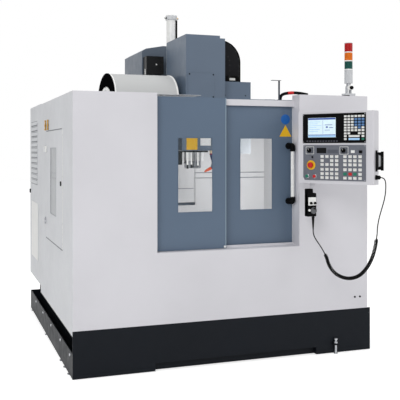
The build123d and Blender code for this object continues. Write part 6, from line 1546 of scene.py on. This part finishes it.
    def buttons(self) -> list[Piece]:
        """Make the caps and collars of the push buttons and the skirts and pointers of the dials."""
        mushroom = [(20.4, 0), (21, 3), (20.4, 9), (16, 14), (9, 15.2), (3, 15.5)]
        cap = [(12.4, 0), (12.4, 2.4), (11, 3.4), (4, 3.6)]
        skirt = [(15.6, 0), (15.6, 9), (13, 14.4), (5, 14.8)]
        collar = [(16, 0), (16, 3), (14, 4.4), (12.9, 4.4), (12.9, 2)]
        caps = (("emergency_button", "stop_mushroom", mushroom, self.stop_place, Finishes.key_red),
                ("start_key", "start_cap", cap, (self.start_t, self.button_z), Finishes.key_green),
                ("stop_key", "stop_cap", cap, (self.halt_t, self.button_z), Finishes.key_red))
        pieces = [self.on(body).spun(name, profile, [(t, self.face - self.button_base, z)], FRONT, finish)
                  for body, name, profile, (t, z), finish in caps]
        for body, (t, z) in self.dials:
            bench = self.on(body)
            pointer = ((t - 0.9, self.face - 21.6, z + 2), (t + 0.9, self.face - 20.9, z + 14))
            pieces.append(bench.spun(f"{body}_skirt", skirt, [(t, self.face - 2, z)], FRONT, Finishes.ink))
            pieces.append(bench.slabs(f"{body}_pointer", [pointer], Finishes.white, 0.2))
        collars = [(t, self.face, self.button_z) for t in (self.start_t, self.halt_t)]
        pieces.append(self.bench.spun("button_collars", collar, collars, FRONT, Finishes.turned))
        return pieces

    def face_screws(self) -> Piece:
        """Make the screws that hold the two face plates."""
        places = [(t, z) for t in (50, 547) for z in (1652, 1853)]
        places += [(547, 1375), (547, 1622), (55, 1622)]
        feet = [(t, self.face, z) for t, z in places]
        return self.bench.screws("face_screws", (3.4, 1.6), feet, FRONT, Finishes.zinc, 12)


@dataclass
class Pendant(SubAssembly):
    """Hand pendant with knobs, plain label and wheel."""

    body: str = "console"
    wheel_x: float = 592.5
    front: float = -1128.0
    back: float = -1077.0
    case_x: Pair = (545.0, 620.0)
    foot: float = 1092.0
    shoulder: float = 1269.0
    top: float = 1301.0
    label_x: Pair = (551.0, 616.0)
    label_z: Pair = (1176.0, 1237.0)
    knob_x: Pair = (573.0, 606.0)
    knob_z: float = 1193.0
    white_knob: Pair = (559.0, 1140.0)
    wheel_z: float = 1138.0
    crank_z: float = 1153.0

    def build(self) -> list[Piece]:
        """Finish the pendant and make its case, its face pieces and its wheel."""
        self.finish_nodes(Finishes.plastic, "pendant")
        self.finish_nodes(Finishes.wheel, "handwheel")
        bench, turning, front, back = self.bench, Bench("pendant_wheel"), self.front, self.back
        (left, right), foot, shoulder = self.case_x, self.foot, self.shoulder
        boxes = [((left, front + 3, foot + 18), (right, back, shoulder)),
                 ((left, front, foot), (right - 27, back, self.top)),
                 ((right - 32, front, foot), (right + 0.4, back, shoulder))]
        case = bench.slabs("pendant_case", boxes, Finishes.ink, 7)
        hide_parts("pendant")
        (left, right), (foot, top) = self.label_x, self.label_z
        label = ((left, front - 0.9, foot), (right, front + 0.4, top))
        knob = [(10, 0), (10, 3), (8, 4), (8, 14.4), (6, 15.4)]
        white_knob = [(9.5, 0), (9.5, 3), (8.3, 8.6), (5, 9.4)]
        rim = [(24.5, 0), (25, 2), (25, 8), (23, 11), (15, 11), (13, 8), (5, 8)]
        crank = [(4.6, 0), (4.6, 12), (5.6, 14), (5.6, 26.6), (3, 27.4)]
        knob_feet = [(x, front, self.knob_z) for x in self.knob_x]
        white_foot = (self.white_knob[0], front, self.white_knob[1])
        rim_foot = (self.wheel_x, front - 2, self.wheel_z)
        crank_foot = (self.wheel_x, front - 8, self.crank_z)
        return [case, bench.slabs("pendant_label", [label], Finishes.white, 0.4),
                bench.spun("pendant_knobs", knob, knob_feet, FRONT, Finishes.ink, 24),
                bench.spun("pendant_white_knob", white_knob, [white_foot], FRONT, Finishes.white, 24),
                turning.spun("wheel_rim", rim, [rim_foot], FRONT, Finishes.wheel, 48),
                turning.spun("wheel_crank", crank, [crank_foot], FRONT, Finishes.ink, 20)]


@dataclass
class PendantCord(SubAssembly):
    """The pendant's lead: straight out, curly in the middle, straight to its connector."""

    body: str = "console"
    plane: float = 42.0
    diameter: float = 8.0
    curl_radius: float = 10.0
    pitch: float = 9.6
    points_per_turn: int = 18
    fade_turns: float = 1.2
    straight_step: int = 10
    relief_top: Pair = (106.0, 1090.0)
    lead_points: tuple[Pair, ...] = ((106, 990), (106, 962), (121, 931), (146, 898), (177, 861), (203, 820))
    curly_points: tuple[Pair, ...] = ((219, 794.769), (229, 757), (256, 709), (308, 667), (392, 650),
                                      (477, 676), (542, 744), (585, 828), (606, 908), (614, 962))
    upper_points: tuple[Pair, ...] = ((619, 995.75), (621, 1046), (634, 1112), (654, 1178), (673, 1240),
                                      (683, 1300), (684, 1350), (679, 1381), (662, 1397), (640, 1397))

    def build(self) -> list[Piece]:
        place = Console().frame
        points = [*self.lead_points, *self.curly_points, *self.upper_points]
        route = [place @ (Vector((t, self.plane, z)) * MM) for t, z in points]
        line = smooth_line(route, 3600)
        first = self.nearest(line, route[len(self.lead_points) - 1])
        second = self.nearest(line, route[len(self.lead_points) + len(self.curly_points) - 1])
        wound = self.wind(line, first, second)
        cord = self.bench.hose("pendant_cord", wound, lambda share: self.diameter / 2, Finishes.cord, 10)
        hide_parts("pendant_lead", "curly_cord", "console_lead")
        return [cord, self.relief(place)]

    @staticmethod
    def nearest(line: Sequence[Vector], point: Vector) -> int:
        """Return the index of the line's point nearest to a place."""
        return min(range(len(line)), key=lambda index: (line[index] - point).length)

    def wind(self, line: Sequence[Vector], first: int, second: int) -> list[Vector]:
        """Wind the middle stretch of a line into a helix that swells and fades at its ends.

        Args:
            line: Evenly spaced points of the centreline.
            first: Index where the curls begin.
            second: Index where the curls end.

        Returns:
            Points of the wound line.
        """
        spacing = length_of(line) / (len(line) - 1)
        turns = (second - first) * spacing / (self.pitch * MM)
        ramp = self.fade_turns / turns
        result = list(line[:first:self.straight_step])
        frames = carried_frames(line)
        steps = int(turns * self.points_per_turn)
        for step in range(steps + 1):
            share = step / steps
            place = first + share * (second - first)
            index = min(int(place), len(line) - 2)
            centre = line[index].lerp(line[index + 1], place - index)
            side, up = frames[index]
            swell = min(1.0, share / ramp, (1 - share) / ramp)
            reach = self.curl_radius * MM * swell * swell * (3 - 2 * swell)
            angle = 2 * math.pi * turns * share
            result.append(centre + reach * (math.cos(angle) * side + math.sin(angle) * up))
        return result + list(line[second + self.straight_step::self.straight_step]) + [line[-1]]

    def relief(self, place: Matrix) -> Piece:
        """Make the ribbed strain relief under the pendant."""
        profile = [(10.6, 0)]
        for index in range(8):
            start, outer = 6 + index * 11, 11 - index * 0.75
            inner = outer - 1.2
            profile += [(outer, start), (outer, start + 6), (inner, start + 7), (inner, start + 10)]
        profile += [(4.6, 100)]
        across, up = self.relief_top
        top = place @ (Vector((across, self.plane, up)) * MM)
        return self.bench.spun("pendant_relief", profile, [tuple(top / MM)], DOWN, Finishes.cord, 20)


@dataclass
class Studio:
    """Floor, lights and the camera."""

    camera_place: Triple = (-2.0485, -6.036, 1.6)
    camera_turn: float = -19.5
    lens: float = 65.97
    shift: float = -0.1275
    floor_reach: float = 30.0
    floor_glow: float = 0.55
    world_light: float = 0.5

    def build(self) -> None:
        """Make the studio."""
        self.camera()
        self.floor()
        self.world()
        self.lamp("key_light", (-4.5, -6.5, 5.2), (0.0, -0.6, 1.1), 214, 3.4)
        self.lamp("fill_light", (5.5, -5.5, 3.6), (0.2, -0.4, 1.2), 96, 3.6)
        self.lamp("top_light", (0.0, 0.5, 6.4), (0.0, 0.0, 1.0), 120, 4.0)
        self.lamp("work_light_left", (-0.76, -0.62, 1.35), (0.0, 0.3, 1.15), 7, 0.4, seen=False)
        self.lamp("work_light_right", (0.76, -0.62, 1.35), (0.1, 0.3, 1.25), 8, 0.4, seen=False)
        bpy.context.scene.view_settings.view_transform = "Standard"

    @staticmethod
    def stand(name: str, data: bpy.types.ID) -> Piece:
        """Put a camera, lamp or mesh into the scene under a name."""
        item = bpy.data.objects.new(name, data)
        bpy.context.scene.collection.objects.link(item)
        return item

    def camera(self) -> None:
        """Make the camera at the photograph's viewing angle."""
        data = bpy.data.cameras.new("view")
        data.sensor_width = 36
        data.lens = self.lens
        data.shift_y = self.shift
        data.clip_end = 100
        camera = self.stand("view", data)
        camera.location = self.camera_place
        camera.rotation_euler = (math.radians(90), 0, math.radians(self.camera_turn))
        bpy.context.scene.camera = camera

    def floor(self) -> None:
        """Make the pale floor, which looks white to the camera and keeps the shadow."""
        mesh = bpy.data.meshes.new("floor")
        reach = self.floor_reach
        corners = [(-reach, -reach, 0), (reach, -reach, 0), (reach, reach, 0), (-reach, reach, 0)]
        mesh.from_pydata(corners, [], [(0, 1, 2, 3)])
        floor = self.stand("floor", mesh)
        material = bpy.data.materials.new("floor_white")
        material.use_nodes = True
        tree = material.node_tree
        shader = tree.nodes["Principled BSDF"]
        shader.inputs["Base Color"].default_value = (0.93, 0.93, 0.93, 1)
        shader.inputs["Roughness"].default_value = 0.7
        shader.inputs["Specular IOR Level"].default_value = 0.1
        shader.inputs["Emission Color"].default_value = (1, 1, 1, 1)
        glow = tree.nodes.new("ShaderNodeMath")
        glow.operation = "MULTIPLY"
        glow.inputs[1].default_value = self.floor_glow
        tree.links.new(self.seen_directly(tree), glow.inputs[0])
        tree.links.new(glow.outputs["Value"], shader.inputs["Emission Strength"])
        mesh.materials.append(material)

    @staticmethod
    def seen_directly(tree: bpy.types.NodeTree) -> Socket:
        """Return a socket that is 1 for the camera, for reflections and through panes."""
        path = tree.nodes.new("ShaderNodeLightPath")
        value = path.outputs["Is Camera Ray"]
        for name in ("Is Glossy Ray", "Is Transmission Ray"):
            either = tree.nodes.new("ShaderNodeMath")
            either.operation = "MAXIMUM"
            tree.links.new(value, either.inputs[0])
            tree.links.new(path.outputs[name], either.inputs[1])
            value = either.outputs["Value"]
        return value

    def world(self) -> None:
        """Make the even white surroundings, dimmer as a light than as they are seen."""
        world = bpy.data.worlds.new("studio")
        bpy.context.scene.world = world
        world.use_nodes = True
        tree = world.node_tree
        tree.nodes.clear()
        output = tree.nodes.new("ShaderNodeOutputWorld")
        mix = tree.nodes.new("ShaderNodeMixShader")
        tree.links.new(self.seen_directly(tree), mix.inputs["Fac"])
        for index, strength in enumerate((self.world_light, 1.0), 1):
            sky = tree.nodes.new("ShaderNodeBackground")
            sky.inputs["Color"].default_value = (1, 1, 1, 1)
            sky.inputs["Strength"].default_value = strength
            tree.links.new(sky.outputs["Background"], mix.inputs[index])
        tree.links.new(mix.outputs["Shader"], output.inputs["Surface"])

    def lamp(self, name: str, place: Triple, aim: Triple, power: float, size: float,
             seen: bool = True) -> None:
        """Make one soft square lamp.

        Args:
            name: Name of the lamp.
            place: Where it stands, in metres.
            aim: Point it faces.
            power: Strength in watts.
            size: Side of the lamp in metres.
            seen: Whether the camera, reflections and panes show the lamp.
        """
        data = bpy.data.lights.new(name, "AREA")
        data.energy = power
        data.size = size
        lamp = self.stand(name, data)
        lamp.location = place
        lamp.visible_camera = lamp.visible_transmission = lamp.visible_glossy = seen
        lamp.rotation_euler = (Vector(aim) - Vector(place)).to_track_quat("-Z", "Y").to_euler()


def main() -> None:
    """Build every sub-assembly in order and report its pieces."""
    logging.basicConfig(level=logging.INFO, format="%(name)s: %(message)s")
    Studio().build()
    for assembly in (PendantCord(), Housing(), Base(), DoorSet(), RightDoor(), SideAccess(), Cabinet(),
                     HeadDress(), TopGear(), Magazine(), SignalLight(), Console(), Pendant()):
        for piece in assembly.build():
            LOG.info("%s: %s, %d faces", type(assembly).__name__, piece.name, len(piece.data.polygons))


if __name__ == "__main__":
    main()
